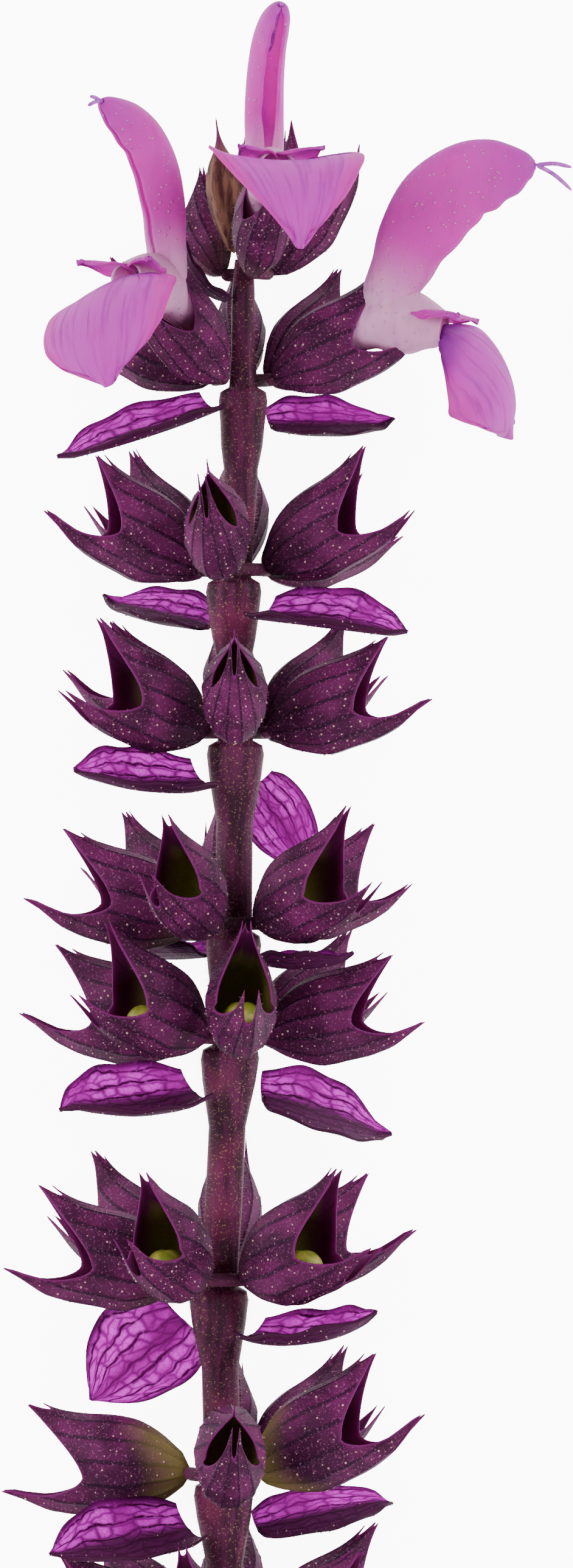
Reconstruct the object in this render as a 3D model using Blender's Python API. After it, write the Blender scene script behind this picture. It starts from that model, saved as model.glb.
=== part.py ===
"""Perennial salvia: one cut flowering spike, lying down.

The spike lies along +Y with its tip at the far end, on the surface z = 0.
Azimuths run round the stem from +X (0 degrees) over the top (+Z, 90 degrees).
Sizes below are millimetres; the finished meshes are in metres.
"""
import math

import bmesh
import bpy
from mathutils import Vector

for old_object in list(bpy.data.objects):
    bpy.data.objects.remove(old_object, do_unlink=True)

MM = 0.001

# Stem
STEM_HEIGHT = 6.5           # axis above the surface
STEM_TOP = 85.3             # height of the growing tip above the cut end
STEM_SIDES = 8
STEM_SQUARENESS = 0.06
SWELLING_FOOT = 4.4         # a node starts to swell this far below its calyces
SWELLING_START = (3.3, 0.35)    # height below them, share of the swelling reached
SWELLING_RISE = (2.2, 0.90)     # height below them, share of the full radius
SHELF_ROUNDING = (0.45, 0.97)   # depth of the rounded edge, share of the radius on top
SHELF_CLEARANCE = 0.6       # no level of the stem line falls this close above a shelf
SHELF_STEP = 0.03
SEAT_GAP = 0.3              # clear space between grown-together pieces

# Blades and calyces
BLADE = 0.6                 # thickness of bracts and petals
CALYX_WALL = 0.6
NECK_RADIUS = 0.34
PRESS_DEPTH = 0.14          # how far a calyx lip is flattened by the surface
BAND_MARGIN = 8.0           # a cyme's common band ends this many degrees past its calyces
BAND_STEP = 20.0
CALYX_LEAN = (0.06, 0.30)   # how far a calyx stands off its band, and more with its pitch
PITCH_STEP = 0.5

SPIKE_TIP = Vector((0.0, 1.0, 0.0))

# Stem centre line: height above the cut end, sideways drift, internode radius
STEM_LINE = [
    (0.0, -0.10, 1.04),
    (11.0, -0.15, 1.00),
    (24.0, -0.22, 0.99),
    (29.4, -0.36, 0.99),
    (34.2, -0.45, 0.97),
    (39.6, -0.18, 1.00),
    (45.9, 0.09, 0.97),
    (52.0, 0.28, 0.95),
    (56.1, 0.30, 0.98),
    (61.7, 0.36, 0.93),
    (65.7, 0.30, 0.93),
    (70.0, 0.30, 0.92),
    (74.4, 0.60, 0.93),
    (78.6, 0.74, 0.80),
    (80.7, 0.75, 0.66),
    (83.6, 0.75, 0.62),
    (85.3, 0.80, 0.50),
]

# Each whorl: number, height, radius of the swollen node, then its two cymes
# and its two bracts. A calyx is (azimuth, pitch, size). A bract is
# (azimuth, drop below the calyces, length, width, pitch at base, pitch at tip,
# cup, roll of its inner face towards +Z).
WHORLS = [
    (1, 79.4, 1.32,
     {"left": [(130, 33, 0.84), (195, 26, 0.92)],
      "right": [(12, 20, 0.87), (-38, 28, 0.86), (-94, 33, 0.76)]},
     {"left": (150, 1.5, 9.2, 4.2, -20, -14, 54, 14),
      "right": (-28, 2.3, 6.6, 4.2, -4, 10, 50, 32)}),
    (2, 70.0, 1.50,
     {"right": [(100, 25, 0.91), (22, 25, 0.91), (-30, 17, 0.87)],
      "left": [(163, 23, 0.91), (219, 27, 0.92), (-86, 30, 0.84)]},
     {"right": (40, 2.3, 9.2, 4.8, -4, -10, 54, 20),
      "left": (225, 2.8, 7.4, 4.0, 8, 14, 52, 22)}),
    (3, 62.0, 1.55,
     {"left": [(90, 25, 0.92), (146, 17, 0.95), (200, 26, 0.86)],
      "right": [(15, 14, 0.90), (-38, 24, 0.88), (-94, 30, 0.80)]},
     {"left": (146, 2.5, 8.2, 5.2, -8, 18, 54, 26),
      "right": (-56, 2.6, 6.0, 3.6, -40, -70, 30, -45)}),
    (4, 52.6, 1.50,
     {"right": [(116, 20, 0.92), (46, 18, 0.96), (-16, 18, 0.85)],
      "left": [(168, 11, 0.95), (219, 22, 0.90), (-100, 30, 0.76)]},
     {"right": (44, 1.9, 6.4, 3.0, -10, 16, 60, 0),
      "left": (222, 1.6, 5.0, 3.4, -6, 4, 56, 0)}),
    (5, 47.0, 1.58,
     {"left": [(84, 20, 1.00), (137, 18, 0.97), (192, 9, 0.98)],
      "right": [(14, 9, 0.91), (-38, 18, 0.90), (-88, 28, 0.70)]},
     {"left": (148, 2.8, 8.4, 5.4, -14, 12, 56, 28),
      "right": (-26, 3.1, 7.4, 5.0, -14, -20, 42, 42)}),
    (6, 35.1, 1.60,
     {"right": [(117, 18, 0.98), (46, 16, 1.02), (-14, 18, 0.91)],
      "left": [(168, 8, 0.98), (214, 22, 0.97), (-82, 28, 0.90)]},
     {"right": (38, 2.8, 8.8, 4.8, -10, 30, 54, 16),
      "left": (206, 2.2, 6.4, 6.0, -34, -54, 24, -50)}),
    (7, 25.5, 1.60,
     {"left": [(86, 12, 1.00), (188, -2, 1.00)],
      "right": [(20, 22, 1.00), (-34, 24, 0.92), (-84, 30, 0.76)]},
     {"left": (150, 2.8, 8.2, 5.6, -12, 2, 52, 30),
      "right": (-26, 2.9, 7.4, 3.8, 6, 16, 48, 34)}),
    (8, 17.1, 1.62,
     {"right": [(104, 16, 0.98), (38, 14, 1.00), (-22, 18, 0.96)],
      "left": [(160, 12, 0.98), (215, 20, 0.94), (-84, 28, 0.88)]},
     {"right": (46, 2.6, 9.2, 5.2, -12, 8, 56, 18),
      "left": (214, 2.6, 8.4, 5.2, -6, -10, 48, 28)}),
]

# One calyx at full size: distance along its axis, then dorsal height and
# sideways offset of the seven points from the back rib round to the belly rib
CALYX_NECK = -0.15
CALYX_BODY = [
    (1.25, 1.76, -1.24, 1.02),
    (3.40, 2.78, -2.00, 1.66),
]
CALYX_LIPS = [
    (5.45, 2.92, 0.00),
    (5.60, 2.70, 0.92),
    (5.35, 1.72, 1.56),
    (4.60, 0.02, 1.70),
    (5.45, -1.00, 1.52),
    (6.30, -1.66, 0.92),
    (5.20, -1.88, 0.00),
]
CALYX_RIM = [
    (6.80, 3.02, 0.00),
    (7.50, 3.46, 0.80),
    (6.90, 1.80, 1.46),
    (5.40, -0.12, 1.66),
    (6.90, -0.72, 1.26),
    (8.80, -0.62, 0.58),
    (6.60, -1.70, 0.00),
]
CALYX_MERIDIANS = 12
CALYX_CORE = 0.6            # dorsal height of the line the walls thicken towards
CALYX_PIT = (3.3, 0.5)      # deepest point of the mouth

# Bract: rows along it and columns across it, where it is widest, half width at its base and
# at its tip, and how it narrows
BRACT_ROWS = (0.0, 0.16, 0.38, 0.62, 0.84, 1.0)
BRACT_COLUMNS = (-1.0, -0.5, 0.0, 0.5, 1.0)
BRACT_WIDEST = 0.34
BRACT_BASE = 0.62
BRACT_TIP = 0.06
BRACT_TAPER = 1.5

# Corolla, seen from the side with its calyx pitched at FLOWER_PITCH: distance
# out, height, half depth, half width and opening of the underside (0 to 1)
FLOWER_PITCH = 20.0
HOOD = [
    (5.9, 3.10, 0.40, 0.44, 0.0),
    (6.7, 3.75, 0.68, 0.66, 0.0),
    (7.3, 4.75, 1.05, 1.00, 0.0),
    (7.6, 6.8, 1.45, 1.05, 1.0),
    (8.7, 8.9, 1.75, 1.00, 1.0),
    (10.3, 10.1, 1.55, 0.92, 1.0),
    (12.0, 10.4, 1.05, 0.78, 1.0),
    (13.1, 10.2, 0.45, 0.42, 0.6),
]
HOOD_ROOF = 0.75            # thickness of the roof over the open underside
HOOD_WALL = 0.52
THROAT = [
    (6.8, 3.2, 0.40, 0.46, 0.0),
    (7.6, 3.4, 0.58, 0.92, 0.0),
    (8.9, 2.6, 0.60, 1.10, 0.0),
]
LIP_START = (8.4, 2.4)
LIP_LENGTH = 7.4
LIP_WIDTH = 8.8
LIP_PITCH = (-6, -104)      # pitch at the throat and bend to its edge
LIP_CUP = 44
LIP_FLARE = 0.9             # how far its side edges sweep back
LIP_ROWS = (0.0, 0.3, 0.62, 0.88, 1.0)
LIP_COLUMNS = 7
SIDE_LOBE_START = (7.6, 3.0)
SIDE_LOBE_LENGTH = 3.0
SIDE_LOBE_WIDTH = 1.8
SIDE_LOBE_SPREAD = 46
SIDE_LOBE_PITCH = (10, -24)
SIDE_LOBE_CUP = 30
SIDE_LOBE_ROWS = (0.0, 0.34, 0.70, 1.0)
SIDE_LOBE_COLUMNS = 3
STYLE_RADIUS = 0.17
FORK_RADIUS = STYLE_RADIUS * 0.9
STYLE_STEM = [(12.5, 10.3), (13.6, 10.35), (14.3, 10.3)]
STYLE_FORKS = [
    [(14.1, 10.3), (14.8, 10.55), (15.3, 10.4)],
    [(14.1, 10.3), (14.7, 9.8), (15.2, 9.2)],
]

# Apex above the first whorl
APEX_HEIGHT = 84.6
APEX_CALYCES = {
    "right": [(76, 38, 0.80), (0, 60, 0.86)],
    "left": [(220, 54, 0.64), (284, 52, 0.62)],
}
APEX_NODE_RADIUS = 0.62
# Buds: azimuth, distance from the axis, lean from it, length, half width
APEX_BUDS = [
    (168, 0.50, 8, 6.8, 0.85),
    (60, 0.20, 0, 6.9, 0.55),
]
# Share of a bud's length and of its half width
BUD_PROFILE = [(0.0, 0.55), (0.18, 0.92), (0.42, 1.0), (0.66, 0.72), (0.84, 0.34)]
BUD_SIDES = 8
# Apex bract, as in a whorl
APEX_BRACT = (158, 1.3, 4.4, 2.6, 6, 96, 36, 10)
# Open flowers: height, azimuth, pitch, size, depth of the hood
FLOWERS = {
    "right": (79.4, 12, 20, 1.00, 1.00),
    "left": (79.4, 132, 38, 0.95, 0.74),
    "front": (APEX_HEIGHT, 76, 45, 0.92, 0.80),
}

COLOURS = {
    "stem": ((0.110, 0.020, 0.050, 1.0), 0.55),
    "calyx": ((0.085, 0.014, 0.055, 1.0), 0.60),
    "bract": ((0.330, 0.040, 0.360, 1.0), 0.50),
    "petal": ((0.700, 0.230, 0.560, 1.0), 0.45),
    "bud": ((0.160, 0.060, 0.045, 1.0), 0.60),
}


def finish(name):
    """Plain finish of one kind of piece."""
    material = bpy.data.materials.get(name)
    if material is None:
        colour, roughness = COLOURS[name]
        material = bpy.data.materials.new(name)
        material.use_nodes = True
        shader = material.node_tree.nodes["Principled BSDF"]
        shader.inputs["Base Color"].default_value = colour
        shader.inputs["Roughness"].default_value = roughness
        shader.inputs["Metallic"].default_value = 0.0
    return material


def stem_at(height):
    """Sideways drift and internode radius of the stem at a height."""
    for low, high in zip(STEM_LINE, STEM_LINE[1:]):
        if height <= high[0]:
            share = (height - low[0]) / (high[0] - low[0])
            drift = low[1] + share * (high[1] - low[1])
            return drift, low[2] + share * (high[2] - low[2])
    return STEM_LINE[-1][1], STEM_LINE[-1][2]


def outward(azimuth):
    """Unit direction away from the stem at an azimuth."""
    angle = math.radians(azimuth)
    return Vector((math.cos(angle), 0.0, math.sin(angle)))


def stem_point(height, azimuth, radius):
    """Point at a distance from the stem's axis."""
    drift, _ = stem_at(height)
    return Vector((drift, height, STEM_HEIGHT)) + outward(azimuth) * radius


class Seat:
    """Frame of a piece that leaves the stem: along, dorsal and sideways."""

    def __init__(self, origin, azimuth, pitch, size=1.0, roll=0.0):
        out = outward(azimuth)
        angle = math.radians(pitch)
        side = out.cross(SPIKE_TIP)
        dorsal = SPIKE_TIP * math.cos(angle) - out * math.sin(angle)
        rolled = math.radians(roll) * (1.0 if side.z >= 0.0 else -1.0)
        self.origin = origin
        self.along = out * math.cos(angle) + SPIKE_TIP * math.sin(angle)
        self.dorsal = dorsal * math.cos(rolled) + side * math.sin(rolled)
        self.side = side * math.cos(rolled) - dorsal * math.sin(rolled)
        self.size = size

    def point(self, along, dorsal, side):
        offset = self.along * along + self.dorsal * dorsal + self.side * side
        return self.origin + offset * self.size


def bridge(mesh, first, second, closed=True, mirrored=False):
    """Triangles between two rows of vertices, split alike on every band."""
    count = len(first)
    for index in range(count if closed else count - 1):
        after = (index + 1) % count
        a, b, c, d = first[index], first[after], second[after], second[index]
        if mirrored:
            mesh.faces.new((a, b, d))
            mesh.faces.new((b, c, d))
        else:
            mesh.faces.new((a, b, c))
            mesh.faces.new((a, c, d))


def fan(mesh, row, centre):
    """Closes the end of a loft with triangles to one point."""
    tip = mesh.verts.new(centre)
    for index, vertex in enumerate(row):
        mesh.faces.new((vertex, row[(index + 1) % len(row)], tip))


def loft(mesh, rings, start, end, folded_at=None):
    """Closed skin over rings of points, closed at a point on each end."""
    rows = [[mesh.verts.new(point) for point in ring] for ring in rings]
    for index in range(len(rows) - 1):
        inner = folded_at is not None and index >= folded_at
        bridge(mesh, rows[index], rows[index + 1], mirrored=inner)
    fan(mesh, rows[0], start)
    fan(mesh, rows[-1], end)


def make_object(name, mesh, colour):
    """Turns a bmesh in millimetres into an object in metres."""
    bmesh.ops.recalc_face_normals(mesh, faces=mesh.faces)
    if mesh.calc_volume(signed=True) < 0.0:
        bmesh.ops.reverse_faces(mesh, faces=mesh.faces)
    bmesh.ops.scale(mesh, vec=(MM, MM, MM), verts=mesh.verts)
    data = bpy.data.meshes.new(name)
    mesh.to_mesh(data)
    mesh.free()
    made = bpy.data.objects.new(name, data)
    bpy.context.scene.collection.objects.link(made)
    data.materials.append(finish(colour))
    return made


def fuse(name, meshes, colour):
    """Joins overlapping closed shapes into one body."""
    body = make_object(name, meshes[0], colour)
    helpers = bpy.data.collections.new(name + "_helpers")
    bpy.context.scene.collection.children.link(helpers)
    for index, mesh in enumerate(meshes[1:]):
        helper = make_object(f"{name}_helper_{index}", mesh, colour)
        bpy.context.scene.collection.objects.unlink(helper)
        helpers.objects.link(helper)
    join = body.modifiers.new("join", "BOOLEAN")
    join.operation = "UNION"
    join.operand_type = "COLLECTION"
    join.collection = helpers
    join.solver = "EXACT"
    bpy.context.view_layer.update()
    evaluated = body.evaluated_get(bpy.context.evaluated_depsgraph_get())
    joined = bpy.data.meshes.new_from_object(evaluated)
    body.modifiers.clear()
    body.data = joined
    for helper in list(helpers.objects):
        bpy.data.objects.remove(helper, do_unlink=True)
    bpy.data.collections.remove(helpers)
    return body


def flatten_underside(body):
    """Cuts a small flat spot where a piece is pressed on the surface."""
    mesh = bmesh.new()
    mesh.from_mesh(body.data)
    if min(vertex.co.z for vertex in mesh.verts) < 0.0:
        everything = mesh.verts[:] + mesh.edges[:] + mesh.faces[:]
        bmesh.ops.bisect_plane(mesh, geom=everything, dist=1e-7, plane_co=(0, 0, 0),
                               plane_no=(0, 0, -1), clear_outer=True)
        rim = [edge for edge in mesh.edges if edge.is_boundary]
        bmesh.ops.holes_fill(mesh, edges=rim)
        bmesh.ops.recalc_face_normals(mesh, faces=mesh.faces)
        mesh.to_mesh(body.data)
    mesh.free()


def mirrored_ring(seat, points):
    """Ring from the back rib down one side to the belly rib and up the other."""
    near = [seat.point(*point) for point in points]
    far = [seat.point(along, dorsal, -side) for along, dorsal, side in points[-2:0:-1]]
    return near + far


def thinner(points):
    """The same ring moved inwards by the thickness of the calyx wall."""
    moved = []
    for along, dorsal, side in points:
        reach = math.hypot(dorsal - CALYX_CORE, side)
        keep = 1.0 - CALYX_WALL / reach
        moved.append((along, CALYX_CORE + (dorsal - CALYX_CORE) * keep, side * keep))
    return moved


def calyx_section(along, back, belly, half_width):
    """Half ring of a body section, with its corners rounded between the ribs."""
    middle = (back + belly) / 2.0
    half = (back - belly) / 2.0
    points = []
    steps = CALYX_MERIDIANS // 2
    for index in range(steps + 1):
        turn = math.pi * index / steps
        points.append((along, middle + half * math.cos(turn), half_width * math.sin(turn)))
    return points


def calyx_shape(seat):
    """One two-lipped calyx: ribbed bell, three-toothed upper lip, split lower lip."""
    neck = NECK_RADIUS / seat.size
    rings = [calyx_section(CALYX_NECK / seat.size, neck, -neck, neck)]
    rings += [calyx_section(*section) for section in CALYX_BODY]
    rings += [CALYX_LIPS, CALYX_RIM, thinner(CALYX_RIM), thinner(CALYX_LIPS)]
    mesh = bmesh.new()
    loft(mesh, [mirrored_ring(seat, ring) for ring in rings],
         seat.point(CALYX_NECK / seat.size, 0.0, 0.0),
         seat.point(CALYX_PIT[0], CALYX_PIT[1], 0.0), folded_at=5)
    return mesh


def calyx_seat(height, azimuth, pitch, size):
    """Where a calyx stands on its whorl, bent up where the surface presses it."""
    _, radius = stem_at(height)
    while True:
        lean = CALYX_LEAN[0] + CALYX_LEAN[1] * math.sin(math.radians(pitch))
        origin = stem_point(height, azimuth, radius + SEAT_GAP + NECK_RADIUS + lean)
        seat = Seat(origin, azimuth, pitch, size)
        lowest = min(point.z for point in mirrored_ring(seat, CALYX_RIM))
        if lowest >= -PRESS_DEPTH:
            return seat
        pitch += PITCH_STEP


def receptacle(height, azimuths):
    """Short band round one side of the stem that carries a cyme's calyces."""
    _, radius = stem_at(height)
    inner = radius + SEAT_GAP
    outer = inner + 2.0 * NECK_RADIUS
    start = min(azimuths) - BAND_MARGIN
    span = max(azimuths) + BAND_MARGIN - start
    steps = max(2, round(span / BAND_STEP))
    rings = []
    for index in range(steps + 1):
        azimuth = start + span * index / steps
        rings.append([
            stem_point(height, azimuth, inner) + SPIKE_TIP * -NECK_RADIUS,
            stem_point(height, azimuth, outer) + SPIKE_TIP * -NECK_RADIUS,
            stem_point(height, azimuth, outer) + SPIKE_TIP * NECK_RADIUS,
            stem_point(height, azimuth, inner) + SPIKE_TIP * NECK_RADIUS,
        ])
    mesh = bmesh.new()
    middle = (inner + outer) / 2.0
    loft(mesh, rings, stem_point(height, start, middle),
         stem_point(height, start + span, middle))
    return mesh


def around_the_stem(calyces):
    """Azimuths of a cyme in one unbroken run."""
    azimuths = [azimuth % 360.0 for azimuth, _, _ in calyces]
    best = None
    for turn in azimuths:
        run = [(azimuth - turn) % 360.0 + turn for azimuth in azimuths]
        if best is None or max(run) - min(run) < max(best) - min(best):
            best = run
    return best


def make_cyme(name, height, calyces):
    """Calyces of one cyme on their common band."""
    shapes = [receptacle(height, around_the_stem(calyces))]
    for azimuth, pitch, size in calyces:
        shapes.append(calyx_shape(calyx_seat(height, azimuth, pitch, size)))
    body = fuse(name, shapes, "calyx")
    flatten_underside(body)
    return body


def thick_blade(grid):
    """Closed blade of even thickness on a grid of points, rows along its length."""
    sheet = bmesh.new()
    rows = [[sheet.verts.new(point) for point in row] for row in grid]
    for first, second in zip(rows, rows[1:]):
        bridge(sheet, first, second, closed=False)
    sheet.normal_update()
    normals = [[vertex.normal.copy() for vertex in row] for row in rows]
    sheet.free()
    mesh = bmesh.new()
    faces = []
    for share in (0.5, -0.5):
        faces.append([[mesh.verts.new(point + normal * (BLADE * share))
                       for point, normal in zip(points, turns)]
                      for points, turns in zip(grid, normals)])
    for side in faces:
        for first, second in zip(side, side[1:]):
            bridge(mesh, first, second, closed=False)
    edges = []
    for side in faces:
        edge = side[0][:-1]
        edge += [row[-1] for row in side[:-1]]
        edge += side[-1][:0:-1]
        edge += [row[0] for row in side[:0:-1]]
        edges.append(edge)
    bridge(mesh, edges[0], edges[1])
    return mesh


def bract_width(share):
    """Half width of an ovate bract, as a share of its widest."""
    if share < BRACT_WIDEST:
        rise = math.sin(math.pi / 2.0 * share / BRACT_WIDEST)
        return BRACT_BASE + (1.0 - BRACT_BASE) * rise
    taper = ((share - BRACT_WIDEST) / (1.0 - BRACT_WIDEST)) ** BRACT_TAPER
    return max(BRACT_TIP, math.cos(math.pi / 2.0 * taper))


def bract_grid(seat, length, width, bend, cup):
    """Points of a boat-shaped bract that bends evenly along its midrib."""
    grid = []
    along, rise, travelled = 0.0, 0.0, 0.0
    half_cup = math.radians(cup)
    for share in BRACT_ROWS:
        middle = math.radians(bend * (share + travelled) / 2.0)
        along += (share - travelled) * length * math.cos(middle)
        rise += (share - travelled) * length * math.sin(middle)
        travelled = share
        half = width / 2.0 * bract_width(share)
        row = []
        for column in BRACT_COLUMNS:
            turn = half_cup * column
            lift = half * (1.0 - math.cos(turn)) / half_cup
            row.append(seat.point(along, rise + lift, half * math.sin(turn) / half_cup))
        grid.append(row)
    return grid


def make_bract(name, height, bract, node_radius):
    """One bract, seated against the swollen node of the stem."""
    azimuth, drop, length, width, base_pitch, tip_pitch, cup, roll = bract
    level = height - drop
    origin = stem_point(level, azimuth, node_radius + SEAT_GAP)
    seat = Seat(origin, azimuth, base_pitch, roll=roll)
    grid = bract_grid(seat, length, width, tip_pitch - base_pitch, cup)
    body = make_object(name, thick_blade(grid), "bract")
    flatten_underside(body)
    return body


def hood_section(half_depth, half_width, opening):
    """Half section: roof, side wall, open underside edge and inner roof."""
    floor = -half_depth
    inner_edge = half_width * 0.85 - HOOD_WALL * 0.9
    inner_roof = half_depth - HOOD_ROOF
    return [
        (half_depth, 0.0),
        (half_depth * 0.68, half_width * 0.78),
        (0.0, half_width),
        (floor, half_width * 0.85),
        (floor, half_width * 0.40 * (1.0 - opening) + inner_edge * opening),
        (floor * (1.0 - opening) + inner_roof * opening, 0.0),
    ]


def petal_loft(seat, stations):
    """Tube or helmet of a corolla along stations in the flower's side view."""
    rings = []
    for index, (along, rise, half_depth, half_width, opening) in enumerate(stations):
        before = stations[max(0, index - 1)]
        after = stations[min(len(stations) - 1, index + 1)]
        run = Vector((after[0] - before[0], after[1] - before[1])).normalized()
        half = hood_section(half_depth, half_width, opening)
        ring = []
        for depth, side in half + [(depth, -side) for depth, side in half[-2:0:-1]]:
            ring.append(seat.point(along - run.y * depth, rise + run.x * depth, side))
        rings.append(ring)
    mesh = bmesh.new()
    centres = []
    for ring in (rings[0], rings[-1]):
        centres.append((ring[0] + ring[2] + ring[-2] + ring[5]) / 4.0)
    loft(mesh, rings, centres[0], centres[1])
    return mesh


def petal_blade(seat, start, length, width, pitch, bend, turn, cup, rows, columns, flare=0.0):
    """Flat petal lobe that leaves the throat and bends down."""
    middle_column = (columns - 1) / 2.0
    turned = math.radians(turn)
    along_turned = seat.along * math.cos(turned) + seat.side * math.sin(turned)
    side_turned = seat.side * math.cos(turned) - seat.along * math.sin(turned)
    origin = seat.point(start[0], start[1], 0.0)
    grid = []
    along, rise, travelled = 0.0, 0.0, 0.0
    half_cup = math.radians(cup)
    for share in rows:
        direction = math.radians(pitch + bend * (share + travelled) / 2.0)
        along += (share - travelled) * length * math.cos(direction)
        rise += (share - travelled) * length * math.sin(direction)
        travelled = share
        half = width / 2.0 * (0.30 + 0.70 * math.sin(math.pi * min(1.0, share * 0.86 + 0.02)))
        row = []
        for index in range(columns):
            column = (index - middle_column) / middle_column
            angle = half_cup * column
            sideways = half * math.sin(angle) / half_cup
            lift = half * (1.0 - math.cos(angle)) / half_cup
            back = flare * column * column * share
            forward = math.cos(direction) * -back + math.sin(direction) * lift
            upward = math.sin(direction) * -back - math.cos(direction) * lift
            row.append(origin + along_turned * (along + forward)
                       + seat.dorsal * (rise + upward) + side_turned * sideways)
        grid.append(row)
    return thick_blade(grid)


def tube(seat, path, radius, sides=5):
    """Thin round thread through points of the flower's side view."""
    rings = []
    for index, (along, rise) in enumerate(path):
        before = path[max(0, index - 1)]
        after = path[min(len(path) - 1, index + 1)]
        run = Vector((after[0] - before[0], after[1] - before[1])).normalized()
        ring = []
        for step in range(sides):
            turn = 2.0 * math.pi * step / sides
            depth = radius * math.cos(turn)
            ring.append(seat.point(along - run.y * depth, rise + run.x * depth,
                                   radius * math.sin(turn)))
        rings.append(ring)
    mesh = bmesh.new()
    loft(mesh, rings, seat.point(*path[0], 0.0), seat.point(*path[-1], 0.0))
    return mesh


def make_corolla(name, height, azimuth, pitch, size, depth):
    """Open flower: tube, sickle-shaped hood, lower lip of three lobes and style."""
    _, radius = stem_at(height)
    origin = stem_point(height, azimuth, radius + SEAT_GAP + NECK_RADIUS)
    seat = Seat(origin, azimuth, pitch - FLOWER_PITCH, size)
    hood = [(along, rise, half_depth * depth, half_width, opening)
            for along, rise, half_depth, half_width, opening in HOOD]
    shapes = [
        petal_loft(seat, hood),
        petal_loft(seat, THROAT),
        petal_blade(seat, LIP_START, LIP_LENGTH, LIP_WIDTH, *LIP_PITCH, 0, LIP_CUP, LIP_ROWS,
                    LIP_COLUMNS, LIP_FLARE),
        tube(seat, STYLE_STEM, STYLE_RADIUS),
    ]
    for spread in (SIDE_LOBE_SPREAD, -SIDE_LOBE_SPREAD):
        shapes.append(petal_blade(seat, SIDE_LOBE_START, SIDE_LOBE_LENGTH, SIDE_LOBE_WIDTH,
                                  *SIDE_LOBE_PITCH, spread, SIDE_LOBE_CUP, SIDE_LOBE_ROWS,
                                  SIDE_LOBE_COLUMNS))
    shapes += [tube(seat, fork, FORK_RADIUS) for fork in STYLE_FORKS]
    return fuse(name, shapes, "petal")


def make_stem():
    """Square stem, swollen at every whorl and stepped in above it."""
    levels = [(height, radius) for height, _, radius in STEM_LINE]
    for _, height, node_radius, _, _ in WHORLS:
        foot = height - SWELLING_FOOT
        shelf = height - NECK_RADIUS - SEAT_GAP
        levels = [level for level in levels if not foot < level[0] < shelf + SHELF_CLEARANCE]
        levels += [
            (foot, stem_at(foot)[1]),
            (height - SWELLING_START[0], 1.0 + (node_radius - 1.0) * SWELLING_START[1]),
            (height - SWELLING_RISE[0], node_radius * SWELLING_RISE[1]),
            (shelf - SHELF_ROUNDING[0], node_radius),
            (shelf, node_radius * SHELF_ROUNDING[1]),
            (shelf + SHELF_STEP, stem_at(height)[1]),
        ]
    rings = []
    for level, radius in sorted(levels):
        ring = []
        for index in range(STEM_SIDES):
            azimuth = 360.0 * index / STEM_SIDES + 45.0
            groove = (1.0 + math.cos(math.radians(4.0 * azimuth))) / 2.0
            ring.append(stem_point(level, azimuth, radius * (1.0 - STEM_SQUARENESS * groove)))
        rings.append(ring)
    mesh = bmesh.new()
    loft(mesh, rings, stem_point(0.0, 0.0, 0.0), stem_point(STEM_TOP, 0.0, 0.0))
    return make_object("stem", mesh, "stem")


def bud_shape(origin, azimuth, lean, length, half_width):
    """Closed bud with a sharp tip."""
    seat = Seat(origin, azimuth, 90.0 - lean)
    rings = []
    for share, width in BUD_PROFILE:
        ring = []
        for step in range(BUD_SIDES):
            turn = 2.0 * math.pi * step / BUD_SIDES
            ring.append(seat.point(share * length, math.cos(turn) * width * half_width,
                                   math.sin(turn) * width * half_width))
        rings.append(ring)
    mesh = bmesh.new()
    loft(mesh, rings, seat.point(0.0, 0.0, 0.0), seat.point(length, 0.0, 0.0))
    return mesh


def make_apex_buds():
    """Cluster of unopened buds on the growing tip."""
    shapes = []
    for azimuth, radius, lean, length, half_width in APEX_BUDS:
        origin = stem_point(STEM_TOP + SEAT_GAP, azimuth, radius)
        shapes.append(bud_shape(origin, azimuth, lean, length, half_width))
    return fuse("apex_buds", shapes, "bud")


def centre_on_origin():
    """Puts the origin under the middle of the finished spike, on the surface."""
    made = list(bpy.context.scene.objects)
    points = [vertex.co for item in made for vertex in item.data.vertices]
    middle = [(min(point[axis] for point in points) + max(point[axis] for point in points)) / 2.0
              for axis in (0, 1)]
    shift = Vector((-middle[0], -middle[1], 0.0))
    for item in made:
        for vertex in item.data.vertices:
            vertex.co += shift


make_stem()
for number, height, node_radius, cymes, bracts in WHORLS:
    for side, calyces in cymes.items():
        make_cyme(f"calyces_{number}_{side}", height, calyces)
    for side, bract in bracts.items():
        make_bract(f"bract_{number}_{side}", height, bract, node_radius)
for side, calyces in APEX_CALYCES.items():
    make_cyme(f"calyces_0_{side}", APEX_HEIGHT, calyces)
make_bract("bract_0_left", APEX_HEIGHT, APEX_BRACT, APEX_NODE_RADIUS)
make_apex_buds()
for side, flower in FLOWERS.items():
    make_corolla(f"corolla_{side}", *flower)
centre_on_origin()
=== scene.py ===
"""Perennial salvia: the looks of one cut flowering spike on a lit white surface.

Heights run up the spike from its cut end, and azimuths run round the stem from the right (0)
over the top (90). Lengths are millimetres until a mesh is made, angles are degrees. Only the
plate and the lamps are placed in metres.
"""
import math

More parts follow.
